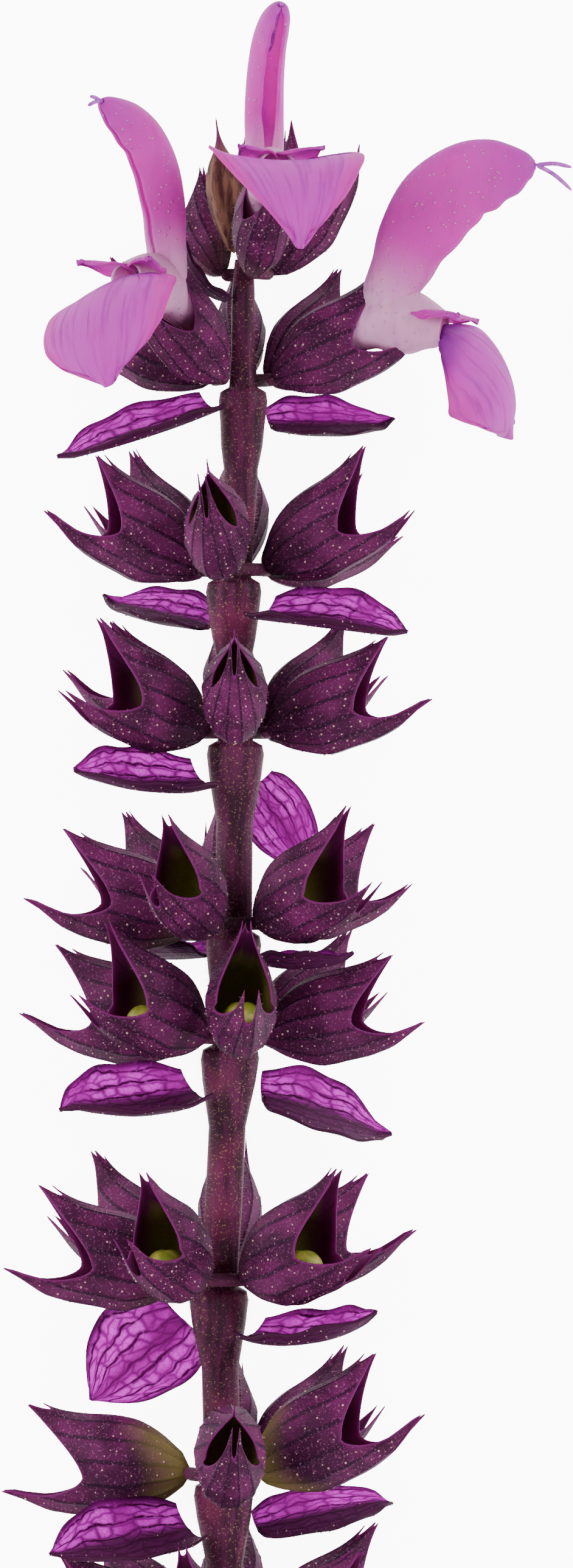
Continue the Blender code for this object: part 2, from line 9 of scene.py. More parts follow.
import bpy
import numpy as np
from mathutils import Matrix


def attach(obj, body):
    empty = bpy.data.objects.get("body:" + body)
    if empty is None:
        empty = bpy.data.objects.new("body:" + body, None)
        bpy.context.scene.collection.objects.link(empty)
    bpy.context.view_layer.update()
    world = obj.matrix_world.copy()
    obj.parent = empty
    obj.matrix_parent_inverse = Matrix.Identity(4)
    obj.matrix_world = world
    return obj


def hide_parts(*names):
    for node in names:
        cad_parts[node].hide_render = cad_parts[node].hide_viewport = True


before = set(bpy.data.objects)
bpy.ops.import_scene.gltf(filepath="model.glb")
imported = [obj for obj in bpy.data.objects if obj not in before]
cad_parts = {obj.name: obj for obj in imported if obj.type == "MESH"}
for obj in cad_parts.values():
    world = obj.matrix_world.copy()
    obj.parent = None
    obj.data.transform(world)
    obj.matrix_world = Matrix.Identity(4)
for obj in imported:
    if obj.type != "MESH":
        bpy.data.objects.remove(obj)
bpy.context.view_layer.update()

# Stem
# One square, softly hairy herbaceous stem that carries every other piece. It is dark maroon,
# swollen below each whorl, and its four faces are shallow grooves.
MM = 0.001
SPIKE_TIP = np.array([0.0, 1.0, 0.0])
STEM_TOP = 85.3
STEM_FOOT_DRIFT = -0.10
# Gap between the stem and what grows from it, and radius of the stalks there
SEAT_GAP = 0.3
NECK = 0.34
# Height above the surface at which pressed lips and blades are kept
LOWEST = 0.01
# Strength of all fine relief
RELIEF_STRENGTH = 0.6
# Height, sideways drift and radius of the stem between its swellings
STEM_LINE = [
    (0.0, STEM_FOOT_DRIFT, 1.04), (11.0, -0.15, 1.00), (24.0, -0.22, 0.99), (29.4, -0.36, 0.99),
    (34.2, -0.45, 0.97), (39.6, -0.18, 1.00), (45.9, 0.09, 0.97), (52.0, 0.28, 0.95),
    (56.1, 0.30, 0.98), (61.7, 0.36, 0.93), (65.7, 0.30, 0.93), (70.0, 0.30, 0.92),
    (74.4, 0.60, 0.93), (78.6, 0.74, 0.80), (80.7, 0.75, 0.66), (83.6, 0.75, 0.62),
    (STEM_TOP, 0.80, 0.50),
]
# Height of each whorl and radius of the stem's swelling below it
NODES = {
    1: (79.4, 1.32), 2: (70.0, 1.50), 3: (62.0, 1.55), 4: (52.6, 1.50),
    5: (47.0, 1.58), 6: (35.1, 1.60), 7: (25.5, 1.60), 8: (17.1, 1.62),
}
# Points of the stem this near its cut end are the end's ring
FOOT_SLICE = 0.01
stem_points = np.array([vertex.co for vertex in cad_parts["stem"].data.vertices]) / MM
foot_ring = stem_points[stem_points[:, 1] < stem_points[:, 1].min() + FOOT_SLICE]
FOOT = foot_ring.mean(axis=0) - np.array([STEM_FOOT_DRIFT, 0.0, 0.0])


def smooth(at, knots, values):
    """Smooth curve through a few points."""
    knots = np.asarray(knots, dtype=float)
    values = np.asarray(values, dtype=float)
    slopes = np.gradient(values, knots)
    at = np.clip(at, knots[0], knots[-1])
    low = np.clip(np.searchsorted(knots, at) - 1, 0, len(knots) - 2)
    gap = knots[low + 1] - knots[low]
    share = (at - knots[low]) / gap
    square, cube = share ** 2, share ** 3
    return ((2 * cube - 3 * square + 1) * values[low] + (cube - 2 * square + share) * gap * slopes[low]
            + (3 * square - 2 * cube) * values[low + 1] + (cube - square) * gap * slopes[low + 1])


def stem_at(height):
    """Sideways drift and radius of the stem between its swellings."""
    heights, drifts, radii = zip(*STEM_LINE)
    return np.interp(height, heights, drifts), np.interp(height, heights, radii)


def outward(azimuth):
    """Unit direction away from the stem."""
    angle = np.radians(azimuth)
    return np.stack([np.cos(angle), np.zeros_like(angle), np.sin(angle)], axis=-1)


def stem_point(height, azimuth, radius):
    """Point at a distance from the stem's axis."""
    drift, _ = stem_at(height)
    return FOOT + np.array([drift, height, 0.0]) + outward(np.float64(azimuth)) * radius


class Seat:
    """Frame of a piece that leaves the stem: along, dorsal and sideways."""

    def __init__(self, origin, azimuth, pitch, size=1.0, roll=0.0):
        out = outward(np.float64(azimuth))
        angle = math.radians(pitch)
        side = np.cross(out, SPIKE_TIP)
        dorsal = SPIKE_TIP * math.cos(angle) - out * math.sin(angle)
        rolled = math.radians(roll) * (1.0 if side[2] >= 0.0 else -1.0)
        self.origin = origin
        self.along = out * math.cos(angle) + SPIKE_TIP * math.sin(angle)
        self.dorsal = dorsal * math.cos(rolled) + side * math.sin(rolled)
        self.side = side * math.cos(rolled) - dorsal * math.sin(rolled)
        self.size = size

    def place(self, along, dorsal, side):
        along, dorsal, side = np.broadcast_arrays(along, dorsal, side)
        offset = (along[..., None] * self.along + dorsal[..., None] * self.dorsal
                  + side[..., None] * self.side)
        return self.origin + offset * self.size


class Skin:
    """Closed pieces being gathered into one mesh, with values painted on their vertices."""

    def __init__(self):
        self.points = []
        self.faces = []
        self.paint = {}
        self.count = 0

    def add(self, points, faces, **paint):
        corners = points[faces[:, :3]]
        volume = np.einsum("ij,ij->i", corners[:, 0], np.cross(corners[:, 1], corners[:, 2])).sum()
        if faces.shape[1] == 4:
            rest = points[faces[:, [0, 2, 3]]]
            volume += np.einsum("ij,ij->i", rest[:, 0], np.cross(rest[:, 1], rest[:, 2])).sum()
        self.points.append(points)
        self.faces.append((faces if volume > 0.0 else faces[:, ::-1]) + self.count)
        for name in self.paint.keys() | paint.keys():
            column = self.paint.setdefault(name, [np.zeros(self.count)])
            value = paint.get(name, 0.0)
            column.append(np.broadcast_to(np.asarray(value, dtype=float).ravel(), len(points)))
        self.count += len(points)

    def add_tube(self, rings, **paint):
        """Adds rings of points whose first and last are drawn together."""
        self.add(rings.reshape(-1, 3), tube_faces(*rings.shape[:2]), **paint)

    def object(self, name, material):
        mesh = bpy.data.meshes.new(name)
        faces = np.concatenate(self.faces)
        mesh.from_pydata((np.concatenate(self.points) * MM).tolist(), [], faces.tolist())
        for label, columns in self.paint.items():
            layer = mesh.attributes.new(label, "FLOAT", "POINT")
            layer.data.foreach_set("value", np.concatenate(columns).astype(np.float32))
        mesh.shade_smooth()
        mesh.materials.append(material)
        made = bpy.data.objects.new(name, mesh)
        bpy.context.scene.collection.objects.link(made)
        return made


def full_turn(sides):
    """Angles once round a ring."""
    return np.linspace(0.0, 2.0 * np.pi, sides, endpoint=False)


def band(first, second, closed):
    """Four-sided faces between two rows of vertex numbers."""
    if closed:
        after = [np.roll(first, -1), np.roll(second, -1)]
        return np.stack([first, after[0], after[1], second], axis=-1)
    return np.stack([first[:-1], first[1:], second[1:], second[:-1]], axis=-1)


def tube_faces(rows, columns):
    """Faces of a closed tube whose first and last rows are drawn together to points."""
    numbers = np.arange(rows * columns).reshape(rows, columns)
    return np.concatenate([band(numbers[row], numbers[row + 1], True) for row in range(rows - 1)])


def sheet_faces(rows, columns):
    """Faces of a closed blade: upper grid, lower grid and the edge round them."""
    upper = np.arange(rows * columns).reshape(rows, columns)
    lower = upper + rows * columns
    faces = [band(upper[row], upper[row + 1], False) for row in range(rows - 1)]
    faces += [band(lower[row + 1], lower[row], False) for row in range(rows - 1)]
    rims = []
    for grid in (upper, lower):
        rims.append(np.concatenate([grid[0, :-1], grid[:-1, -1], grid[-1, :0:-1], grid[:0:-1, 0]]))
    faces.append(band(rims[1], rims[0], True))
    return np.concatenate(faces)


def grid_normals(grid):
    """Unit normals of a grid of points."""
    normals = np.cross(np.gradient(grid, axis=0), np.gradient(grid, axis=1))
    length = np.linalg.norm(normals, axis=-1, keepdims=True)
    return normals / np.maximum(length, 1e-9)


def thicken(skin, middle, thickness, **paint):
    """Closes a grid of points into a thin blade that stays above the surface."""
    rows, columns = middle.shape[:2]
    normals = grid_normals(middle)
    grid = np.concatenate([middle + normals * thickness / 2.0, middle - normals * thickness / 2.0])
    grid[..., 2] = np.maximum(grid[..., 2], LOWEST)
    doubled = {name: np.tile(np.broadcast_to(value, (rows, columns)).ravel(), 2)
               for name, value in paint.items()}
    skin.add(grid.reshape(-1, 3), sheet_faces(rows, columns), **doubled)


def add_node(tree, kind, inputs=None, **settings):
    """Adds one node, sets it up and joins the sockets given."""
    made = tree.nodes.new(kind)
    for name, value in settings.items():
        setattr(made, name, value)
    for key, value in (inputs or {}).items():
        if isinstance(value, bpy.types.NodeSocket):
            tree.links.new(value, made.inputs[key])
        else:
            made.inputs[key].default_value = value
    return made


def maths(tree, operation, first, second=0.0):
    """Result of one piece of arithmetic."""
    return add_node(tree, "ShaderNodeMath", {0: first, 1: second}, operation=operation).outputs[0]


def times(tree, first, second):
    """Product of two values."""
    return maths(tree, "MULTIPLY", first, second)


def larger(tree, first, second):
    """The larger of two values."""
    return maths(tree, "MAXIMUM", first, second)


def ramp(tree, value, low, high, to_low=0.0, to_high=1.0):
    """Value that rises smoothly between two limits."""
    return add_node(tree, "ShaderNodeMapRange", {0: value, 1: low, 2: high, 3: to_low, 4: to_high},
                    interpolation_type="SMOOTHSTEP").outputs[0]


def mix(tree, share, first, second):
    """Colour between two colours."""
    return add_node(tree, "ShaderNodeMix", {0: share, 6: first, 7: second}, data_type="RGBA").outputs[2]


def painted(tree, name):
    """Value painted on the vertices."""
    return add_node(tree, "ShaderNodeAttribute", attribute_name=name).outputs["Fac"]


def noise(tree, scale, detail=3.0, stretch=(1.0, 1.0, 1.0)):
    """Soft irregular value over the piece, scale in features a metre."""
    place = add_node(tree, "ShaderNodeTexCoord").outputs["Object"]
    place = add_node(tree, "ShaderNodeMapping", {"Vector": place, "Scale": stretch}).outputs[0]
    return add_node(tree, "ShaderNodeTexNoise", {"Vector": place, "Scale": scale, "Detail": detail}
                    ).outputs["Fac"]


def leaf_material(name, roughness, gloss=0.22):
    """New finish, its node tree and its Principled shader."""
    material = bpy.data.materials.new(name)
    material.use_nodes = True
    tree = material.node_tree
    shader = tree.nodes["Principled BSDF"]
    shader.inputs["Roughness"].default_value = roughness
    shader.inputs["Specular IOR Level"].default_value = gloss
    return material, tree, shader


def let_light_through(tree, shader, share, colour):
    """Mixes in light that comes through from behind."""
    behind = add_node(tree, "ShaderNodeBsdfTranslucent", {"Color": colour})
    both = add_node(tree, "ShaderNodeMixShader", {0: share, 1: shader.outputs[0], 2: behind.outputs[0]})
    tree.links.new(both.outputs[0], tree.nodes["Material Output"].inputs["Surface"])


def raise_surface(tree, shader, height, distance):
    """Fine relief of a surface, distance in millimetres."""
    bump = add_node(tree, "ShaderNodeBump", {"Height": height, "Strength": RELIEF_STRENGTH,
                                             "Distance": distance * MM})
    tree.links.new(bump.outputs[0], shader.inputs["Normal"])


STEM_DARK = (0.018, 0.003, 0.012, 1.0)
STEM_RED = (0.062, 0.006, 0.034, 1.0)
STEM_GOLD = (0.300, 0.200, 0.080, 1.0)
STEM_BLOTCH = (0.17, 0.015, 0.060, 1.0)
STEM_THROUGH = (0.60, 0.04, 0.28, 1.0)
stem_finish, tree, shader = leaf_material("stem skin", 0.55, 0.14)
streaks = noise(tree, 2600.0, 4.0, (1.0, 0.12, 1.0))
blotches = noise(tree, 420.0, 2.0)
grains = ramp(tree, noise(tree, 9000.0, 1.0), 0.62, 0.74)
colour = mix(tree, ramp(tree, streaks, 0.36, 0.66), STEM_DARK, STEM_RED)
colour = mix(tree, ramp(tree, blotches, 0.5, 0.75, 0.0, 0.35), colour, STEM_BLOTCH)
colour = mix(tree, times(tree, grains, 0.45), colour, STEM_GOLD)
tree.links.new(colour, shader.inputs["Base Color"])
raise_surface(tree, shader, streaks, 0.09)
let_light_through(tree, shader, 0.10, STEM_THROUGH)

# How far a hair leans and turns at random, in radians, and how its size varies
HAIR_LEAN = 0.6
HAIR_TURN = 3.1
SMALLEST_COPY = 0.55
LARGEST_COPY = 1.25


def scatter_tree(name, paint, hairs):
    """Nodes that spread hairs or round glands over a painted surface."""
    tree = bpy.data.node_groups.new(name, "GeometryNodeTree")
    tree.interface.new_socket("Geometry", in_out="INPUT", socket_type="NodeSocketGeometry")
    for label, kind in (("Spacing", "Float"), ("Density", "Float"), ("Radius", "Float"),
                        ("Length", "Float"), ("Seed", "Int"), ("Finish", "Material")):
        tree.interface.new_socket(label, in_out="INPUT", socket_type=f"NodeSocket{kind}")
    tree.interface.new_socket("Geometry", in_out="OUTPUT", socket_type="NodeSocketGeometry")
    given = add_node(tree, "NodeGroupInput").outputs
    share = add_node(tree, "GeometryNodeInputNamedAttribute", {"Name": paint}, data_type="FLOAT")
    spots = add_node(tree, "GeometryNodeDistributePointsOnFaces",
                     {"Mesh": given["Geometry"], "Distance Min": given["Spacing"],
                      "Density Max": given["Density"], "Density Factor": share.outputs[0],
                      "Seed": given["Seed"]}, distribute_method="POISSON")
    turned = spots.outputs["Rotation"]
    if hairs:
        piece = add_node(tree, "GeometryNodeMeshCone",
                         {"Vertices": 3, "Radius Top": 0.0, "Radius Bottom": given["Radius"],
                          "Depth": given["Length"]}).outputs["Mesh"]
        lean = add_node(tree, "FunctionNodeRandomValue",
                        {0: (-HAIR_LEAN, -HAIR_LEAN, -HAIR_TURN), 1: (HAIR_LEAN, HAIR_LEAN, HAIR_TURN)},
                        data_type="FLOAT_VECTOR").outputs[0]
        lean = add_node(tree, "FunctionNodeEulerToRotation", {0: lean}).outputs[0]
        turned = add_node(tree, "FunctionNodeRotateRotation", {0: turned, 1: lean},
                          rotation_space="LOCAL").outputs[0]
    else:
        piece = add_node(tree, "GeometryNodeMeshIcoSphere",
                         {"Radius": given["Radius"], "Subdivisions": 1}).outputs["Mesh"]
    scale = add_node(tree, "FunctionNodeRandomValue", {2: SMALLEST_COPY, 3: LARGEST_COPY},
                     data_type="FLOAT").outputs[1]
    placed = add_node(tree, "GeometryNodeInstanceOnPoints",
                      {"Points": spots.outputs["Points"], "Instance": piece, "Rotation": turned,
                       "Scale": scale}).outputs[0]
    real = add_node(tree, "GeometryNodeRealizeInstances", {0: placed}).outputs[0]
    dressed = add_node(tree, "GeometryNodeSetMaterial", {"Geometry": real, "Material": given["Finish"]})
    add_node(tree, "NodeGroupOutput", {"Geometry": dressed.outputs[0]})
    return tree


def scatter(name, host, tree, finish, seed, spacing, density, radius, length=0.0):
    """Plain mesh of what the nodes spread over a piece, density in copies a square millimetre."""
    values = {"Spacing": spacing * MM, "Density": density / MM ** 2, "Radius": radius * MM,
              "Length": length * MM, "Seed": seed, "Finish": finish}
    made = bpy.data.objects.new(name, host.data)
    bpy.context.scene.collection.objects.link(made)
    spread = made.modifiers.new("spread", "NODES")
    spread.node_group = tree
    for socket in tree.interface.items_tree:
        if socket.in_out == "INPUT" and socket.name in values:
            spread[socket.identifier] = values[socket.name]
    bpy.context.view_layer.update()
    evaluated = made.evaluated_get(bpy.context.evaluated_depsgraph_get())
    mesh = bpy.data.meshes.new_from_object(evaluated)
    made.modifiers.clear()
    made.data = mesh
    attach(made, "root")
    return made


HAIR_PINK = (0.50, 0.26, 0.36, 1.0)
HAIR_THROUGH = (0.80, 0.55, 0.68, 1.0)
hair_finish, tree, shader = leaf_material("hair", 0.4)
shader.inputs["Base Color"].default_value = HAIR_PINK
let_light_through(tree, shader, 0.5, HAIR_THROUGH)
hair_tree = scatter_tree("hairs", "hair", True)

STEM_SIDES = 40
STEM_STEP = 0.35
# Swelling below each whorl, up to the shelf under the stalks. Foot, start and flank are measured
# from the whorl, the crown, the rise and the clearance from the shelf. Shares are of the
# swelling's radius, but at the start of what it grows by, and at the shelf's top of the stem's.
SWELLING_FOOT = 4.4
SWELLING_START = 3.3
SWELLING_START_SHARE = 0.35
SWELLING_FLANK = 2.2
SWELLING_FLANK_SHARE = 0.90
SWELLING_CROWN = 0.45
SWELLING_CROWN_SHARE = 0.99
SHELF_SHARE = 0.93
SHELF_RISE = 0.25
SHELF_TOP_SHARE = 1.02
SHELF_CLEARANCE = 0.6
GROOVE_DEPTH = 0.10
FLUTES = 20.0
FLUTE_DEPTH = 0.012
FLUTE_SWAY = 0.6
FLUTE_SWAY_RATE = 0.5
levels = {height: radius for height, _, radius in STEM_LINE}
for height, swelling in NODES.values():
    foot, shelf = height - SWELLING_FOOT, height - NECK - SEAT_GAP
    levels = {level: radius for level, radius in levels.items()
              if not foot < level < shelf + SHELF_CLEARANCE}
    levels.update({
        foot: stem_at(foot)[1],
        height - SWELLING_START: 1.0 + (swelling - 1.0) * SWELLING_START_SHARE,
        height - SWELLING_FLANK: swelling * SWELLING_FLANK_SHARE,
        shelf - SWELLING_CROWN: swelling * SWELLING_CROWN_SHARE,
        shelf: swelling * SHELF_SHARE,
        shelf + SHELF_RISE: stem_at(height)[1] * SHELF_TOP_SHARE,
    })
level_heights = np.array(sorted(levels))
level_radii = np.array([levels[height] for height in level_heights])
heights = np.unique(np.concatenate([np.arange(0.0, STEM_TOP, STEM_STEP), level_heights, [STEM_TOP]]))
radii = np.interp(heights, level_heights, level_radii)
drifts = smooth(heights, *zip(*[(height, drift) for height, drift, _ in STEM_LINE]))
angles = full_turn(STEM_SIDES)
groove = 1.0 - GROOVE_DEPTH * (1.0 + np.cos(4.0 * angles)) ** 2 / 4.0
sway = FLUTE_SWAY * np.sin(heights[:, None] * FLUTE_SWAY_RATE)
flutes = 1.0 + FLUTE_DEPTH * np.cos(FLUTES * angles[None, :] + sway)
reach = radii[:, None] * groove[None, :] * flutes
rings = np.stack([FOOT[0] + drifts[:, None] + reach * np.cos(angles),
                  np.broadcast_to(FOOT[1] + heights[:, None], reach.shape),
                  FOOT[2] + reach * np.sin(angles)], axis=-1)
rings = np.concatenate([rings[:1].mean(axis=1, keepdims=True).repeat(STEM_SIDES, axis=1), rings,
                        rings[-1:].mean(axis=1, keepdims=True).repeat(STEM_SIDES, axis=1)])
skin = Skin()
skin.add_tube(rings, hair=1.0)
stem = skin.object("stem_fine", stem_finish)
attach(stem, "root")
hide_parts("stem")
stem_hairs = scatter("stem_hairs", stem, hair_tree, hair_finish, seed=3, spacing=0.08, density=18.0,
                     radius=0.0050, length=0.30)

# Calyces
# Each is one leathery bell with two lips, three short teeth above and two long ones below,
# with raised dark ribs. The two or three of a half whorl share a short stalk beside the stem.
# Table of half whorls: azimuth, pitch and size of each calyx
WHORLS = {
    "1_left": [(130, 33, 0.84), (195, 26, 0.92)],
    "1_right": [(12, 20, 0.87), (-38, 28, 0.86), (-94, 33, 0.76)],
    "2_right": [(100, 25, 0.91), (22, 25, 0.91), (-30, 17, 0.87)],
    "2_left": [(163, 23, 0.91), (219, 27, 0.92), (-86, 30, 0.84)],
    "3_left": [(90, 25, 0.92), (146, 17, 0.95), (200, 26, 0.86)],
    "3_right": [(15, 14, 0.90), (-38, 24, 0.88), (-94, 30, 0.80)],
    "4_right": [(116, 20, 0.92), (46, 18, 0.96), (-16, 18, 0.85)],
    "4_left": [(168, 11, 0.95), (219, 22, 0.90), (-100, 30, 0.76)],
    "5_left": [(84, 20, 1.00), (137, 18, 0.97), (192, 9, 0.98)],
    "5_right": [(14, 9, 0.91), (-38, 18, 0.90), (-88, 28, 0.70)],
    "6_right": [(117, 18, 0.98), (46, 16, 1.02), (-14, 18, 0.91)],
    "6_left": [(168, 8, 0.98), (214, 22, 0.97), (-82, 28, 0.90)],
    "7_left": [(86, 12, 1.00), (188, -2, 1.00)],
    "7_right": [(20, 22, 1.00), (-34, 24, 0.92), (-84, 30, 0.76)],
    "8_right": [(104, 16, 0.98), (38, 14, 1.00), (-22, 18, 0.96)],
    "8_left": [(160, 12, 0.98), (215, 20, 0.94), (-84, 28, 0.88)],
    "0_right": [(76, 38, 0.80), (0, 60, 0.86)],
    "0_left": [(220, 54, 0.64), (284, 52, 0.62)],
}
APEX_HEIGHT = 84.6
RIBS = 13
# Back line, belly line and half width of the bell along its axis
BELL_FOOT = -0.15
BACK = [(BELL_FOOT, NECK), (0.3, 1.00), (0.72, 1.38), (1.2, 1.82), (1.74, 2.22), (2.4, 2.58),
        (3.2, 2.80), (4.2, 2.93), (5.2, 2.98), (6.2, 3.10), (7.0, 3.36), (7.9, 3.80), (9.0, 4.3)]
BELLY = [(BELL_FOOT, -NECK), (0.42, -0.72), (0.78, -0.98), (1.98, -1.62), (3.0, -2.00), (4.3, -1.96),
         (6.1, -1.77), (7.2, -1.48), (8.0, -1.10), (9.0, -0.62)]
HALF_WIDTH = [(BELL_FOOT, NECK), (0.6, 0.76), (1.25, 1.08), (2.2, 1.45), (3.4, 1.68), (4.6, 1.74),
              (5.6, 1.72), (7.0, 1.55), (9.0, 1.30)]
# Rim from the back rib to the belly rib: angle, reach, sharpness of the edge that leads there
NOTCH_ANGLE = 104.0
RIM = [(0.0, 7.25, 0.0), (12.0, 6.85, 2.2), (33.0, 7.95, 2.6), (NOTCH_ANGLE, 5.20, 1.60),
       (157.0, 9.10, 1.55), (180.0, 6.9, 2.8)]
RIM_STEPS = (5, 7, 14, 12, 6)
BELL_ROWS = 22
ROW_CROWDING = 0.9
# Thickness of the wall at the foot and at the rim, and row at which the inside has its floor
WALL = 0.22
RIM_WALL = 0.07
FLOOR_ROW = 3
# How far the lips fold in towards each other at the rim, and how being shut or flowering adds to it
UPPER_PINCH = 0.72
LOWER_PINCH = 0.32
FOLD_START = 4.0
FOLD_RUN = 3.4
FOLD_POWER = 1.3
PINCH_SWING = 0.3
SHUT_PINCH = 0.2
PINCH_LIMIT = 0.95
SHUT_RISE = 1.9
SHUT_DROP = 1.4
# Where the bell begins to gape, and how it widens from there
GAPE_START = 4.5
GAPE_RUN = 4.0
GAPE_POWER = 1.5
# Height of the ribs, and how they fade towards the rim
RIB_RELIEF = 0.075
RIB_FADE = 0.8
RIB_LEAST = 0.15
# Angle at which the glands begin, how they fill in, and shares of the bell's length between
# which they stand
GLAND_START = 20.0
GLAND_RUN = 60.0
GLAND_LEAST = 0.35
GLAND_LIMITS = (0.12, 0.93)
# Limits of what varies at random from calyx to calyx
TOOTH_TURN = (-3.0, 3.0)
TOOTH_REACH = (0.97, 1.03)
GAPE = (-0.01, 0.05)
TONE = (0.0, 0.8)
SEED = 11
# Points of the lips that are tested against the surface, and how deep it may press them
LIP_POINTS = np.array([(6.8, 3.02, 0.0), (7.5, 3.46, 0.8), (6.9, 1.8, 1.46), (5.4, -0.12, 1.66),
                       (6.9, -0.72, 1.26), (8.8, -0.62, 0.58), (6.6, -1.7, 0.0)])
PRESS_DEPTH = 0.14
PRESS_STEP = 0.5
# Distance of a calyx from its stalk's ring, and what its pitch adds
SEAT_LEAN = 0.06
PITCH_LEAN = 0.30
STALK_OVERHANG = 8.0
STALK_ROWS = 24
STALK_SIDES = 10
# Calyces whose lips are shut, those that hold an open flower and those with a pale green base
SHUT = {"2_right": 100, "3_left": 90, "7_left": 86}
FLOWERING = {"1_right": 12, "1_left": 130, "0_right": 76}
FLOWERING_AMOUNT = -1.2
GREEN_BASED = {"7_left": 188, "7_right": 20}


def rim_reach(angle, rim):
    """How far the bell reaches at an angle from its back rib, teeth and notches included."""
    reach = np.zeros_like(angle)
    for start, end in zip(rim, rim[1:]):
        inside = (angle >= start[0]) & (angle <= end[0])
        tooth, notch = (start, end) if start[1] > end[1] else (end, start)
        share = (angle - notch[0]) / (tooth[0] - notch[0])
        shaped = notch[1] + (tooth[1] - notch[1]) * np.abs(share) ** end[2]
        reach = np.where(inside, shaped, reach)
    return reach


def bell(seat, rim, gape, shut, thickness):
    """Outer or inner skin of a bell, and what is painted on it."""
    half = np.concatenate([np.linspace(start[0], end[0], steps, endpoint=False)
                           for (start, end), steps in zip(zip(rim, rim[1:]), RIM_STEPS)] + [[180.0]])
    angle = np.concatenate([half, 360.0 - half[-2:0:-1]])
    folded = np.minimum(angle, 360.0 - angle)
    reach = rim_reach(folded, rim)
    rows = np.linspace(0.0, 1.0, BELL_ROWS)[:, None] ** ROW_CROWDING
    along = BELL_FOOT + rows * (reach - BELL_FOOT)
    back = smooth(along, *zip(*BACK))
    belly = smooth(along, *zip(*BELLY))
    width = smooth(along, *zip(*HALF_WIDTH))
    opened = gape * np.clip(along - GAPE_START, 0.0, GAPE_RUN) ** GAPE_POWER
    turn = np.radians(angle)[None, :]
    nearing = np.clip((along - FOLD_START) / FOLD_RUN, 0.0, 1.0) ** FOLD_POWER
    pinch = np.where(folded < NOTCH_ANGLE, UPPER_PINCH, LOWER_PINCH) * (1.0 + PINCH_SWING * shut)
    pinch = np.minimum(pinch + SHUT_PINCH * max(shut, 0.0), PINCH_LIMIT)
    width = width * (1.0 - pinch * nearing)
    belly = belly + max(shut, 0.0) * SHUT_RISE * nearing
    back = back - max(shut, 0.0) * SHUT_DROP * nearing
    middle, half_height = (back + belly) / 2.0, (back - belly) / 2.0 + opened
    ridge = np.clip(np.cos(np.radians(folded) * RIBS), 0.0, 1.0) ** 2
    fade = np.clip((reach - along) * RIB_FADE, RIB_LEAST, 1.0)
    shrink = RIB_RELIEF * ridge * np.clip(along, 0.0, 1.0) * fade - thickness(rows)
    dorsal = middle + (half_height + shrink) * np.cos(turn)
    side = (width + shrink) * np.sin(turn)
    points = seat.place(along, dorsal, side)
    shares = np.broadcast_to(rows, along.shape)
    between = (0.5 - 0.5 * np.cos(np.radians(folded) * RIBS)) ** 3
    between = between * np.clip((folded - GLAND_START) / GLAND_RUN, GLAND_LEAST, 1.0)
    glandular = (shares > GLAND_LIMITS[0]) & (shares < GLAND_LIMITS[1])
    return points, {"rib": np.broadcast_to(folded / 180.0, along.shape), "reach": shares,
                    "gland": between * glandular}


def add_calyx(skin, seat, shut, green, random):
    """One bell with walls. shut runs from flowering, below 0, to 1; green is how pale its base is."""
    rim = []
    for angle, reach, sharpness in RIM:
        shift = 0.0 if angle in (0.0, 180.0) else random.uniform(*TOOTH_TURN)
        rim.append((angle + shift, reach * random.uniform(*TOOTH_REACH), sharpness))
    gape = random.uniform(*GAPE)
    outer, paint = bell(seat, rim, gape, shut, lambda rows: 0.0)
    inner, _ = bell(seat, rim, gape, shut, lambda rows: WALL + (RIM_WALL - WALL) * rows)
    inner[:FLOOR_ROW] = inner[FLOOR_ROW]
    inner[0] = inner[FLOOR_ROW].mean(axis=0)
    outer[0] = outer[0].mean(axis=0)
    rows, columns = outer.shape[:2]
    grid = np.concatenate([outer, inner[::-1]])
    grid[..., 2] = np.maximum(grid[..., 2], LOWEST)
    tone = max(green, random.uniform(*TONE))
    painting = {name: np.concatenate([value, value[::-1]]).ravel() for name, value in paint.items()}
    inside = np.repeat([0.0, 1.0], rows * columns)
    painting["gland"] = painting["gland"] * (1.0 - inside)
    skin.add_tube(grid, inside=inside, tone=tone, hair=1.0 - inside, **painting)


def calyx_seat(height, azimuth, pitch, size):
    """Where a calyx stands, bent up where the surface presses it."""
    lips = np.concatenate([LIP_POINTS, LIP_POINTS * (1, 1, -1)])
    while True:
        lean = SEAT_LEAN + PITCH_LEAN * math.sin(math.radians(pitch))
        radius = stem_at(height)[1] + SEAT_GAP + NECK + lean
        seat = Seat(stem_point(height, azimuth, radius), azimuth, pitch, size)
        if seat.place(*lips.T)[:, 2].min() >= -PRESS_DEPTH:
            return seat
        pitch += PRESS_STEP


def add_stalk(skin, height, calyces):
    """Common stalk of a half whorl, in a curve close round the stem."""
    azimuths = np.array([azimuth % 360.0 for azimuth, _, _ in calyces])
    runs = [(azimuths - turn) % 360.0 + turn for turn in azimuths]
    run = min(runs, key=lambda each: each.max() - each.min())
    spread = np.linspace(run.min() - STALK_OVERHANG, run.max() + STALK_OVERHANG, STALK_ROWS)
    radius = stem_at(height)[1] + SEAT_GAP + NECK
    turn = full_turn(STALK_SIDES)
    rings = []
    for share, azimuth in zip(np.linspace(-1.0, 1.0, STALK_ROWS), spread):
        thick = NECK * math.sqrt(max(0.0, 1.0 - share ** 6))
        centre = stem_point(height, azimuth, radius)
        out = outward(np.float64(azimuth))
        rings.append(centre + thick * (np.cos(turn)[:, None] * out + np.sin(turn)[:, None] * SPIKE_TIP))
    skin.add_tube(np.array(rings), reach=0.05, rib=0.5, tone=0.6, hair=1.0)


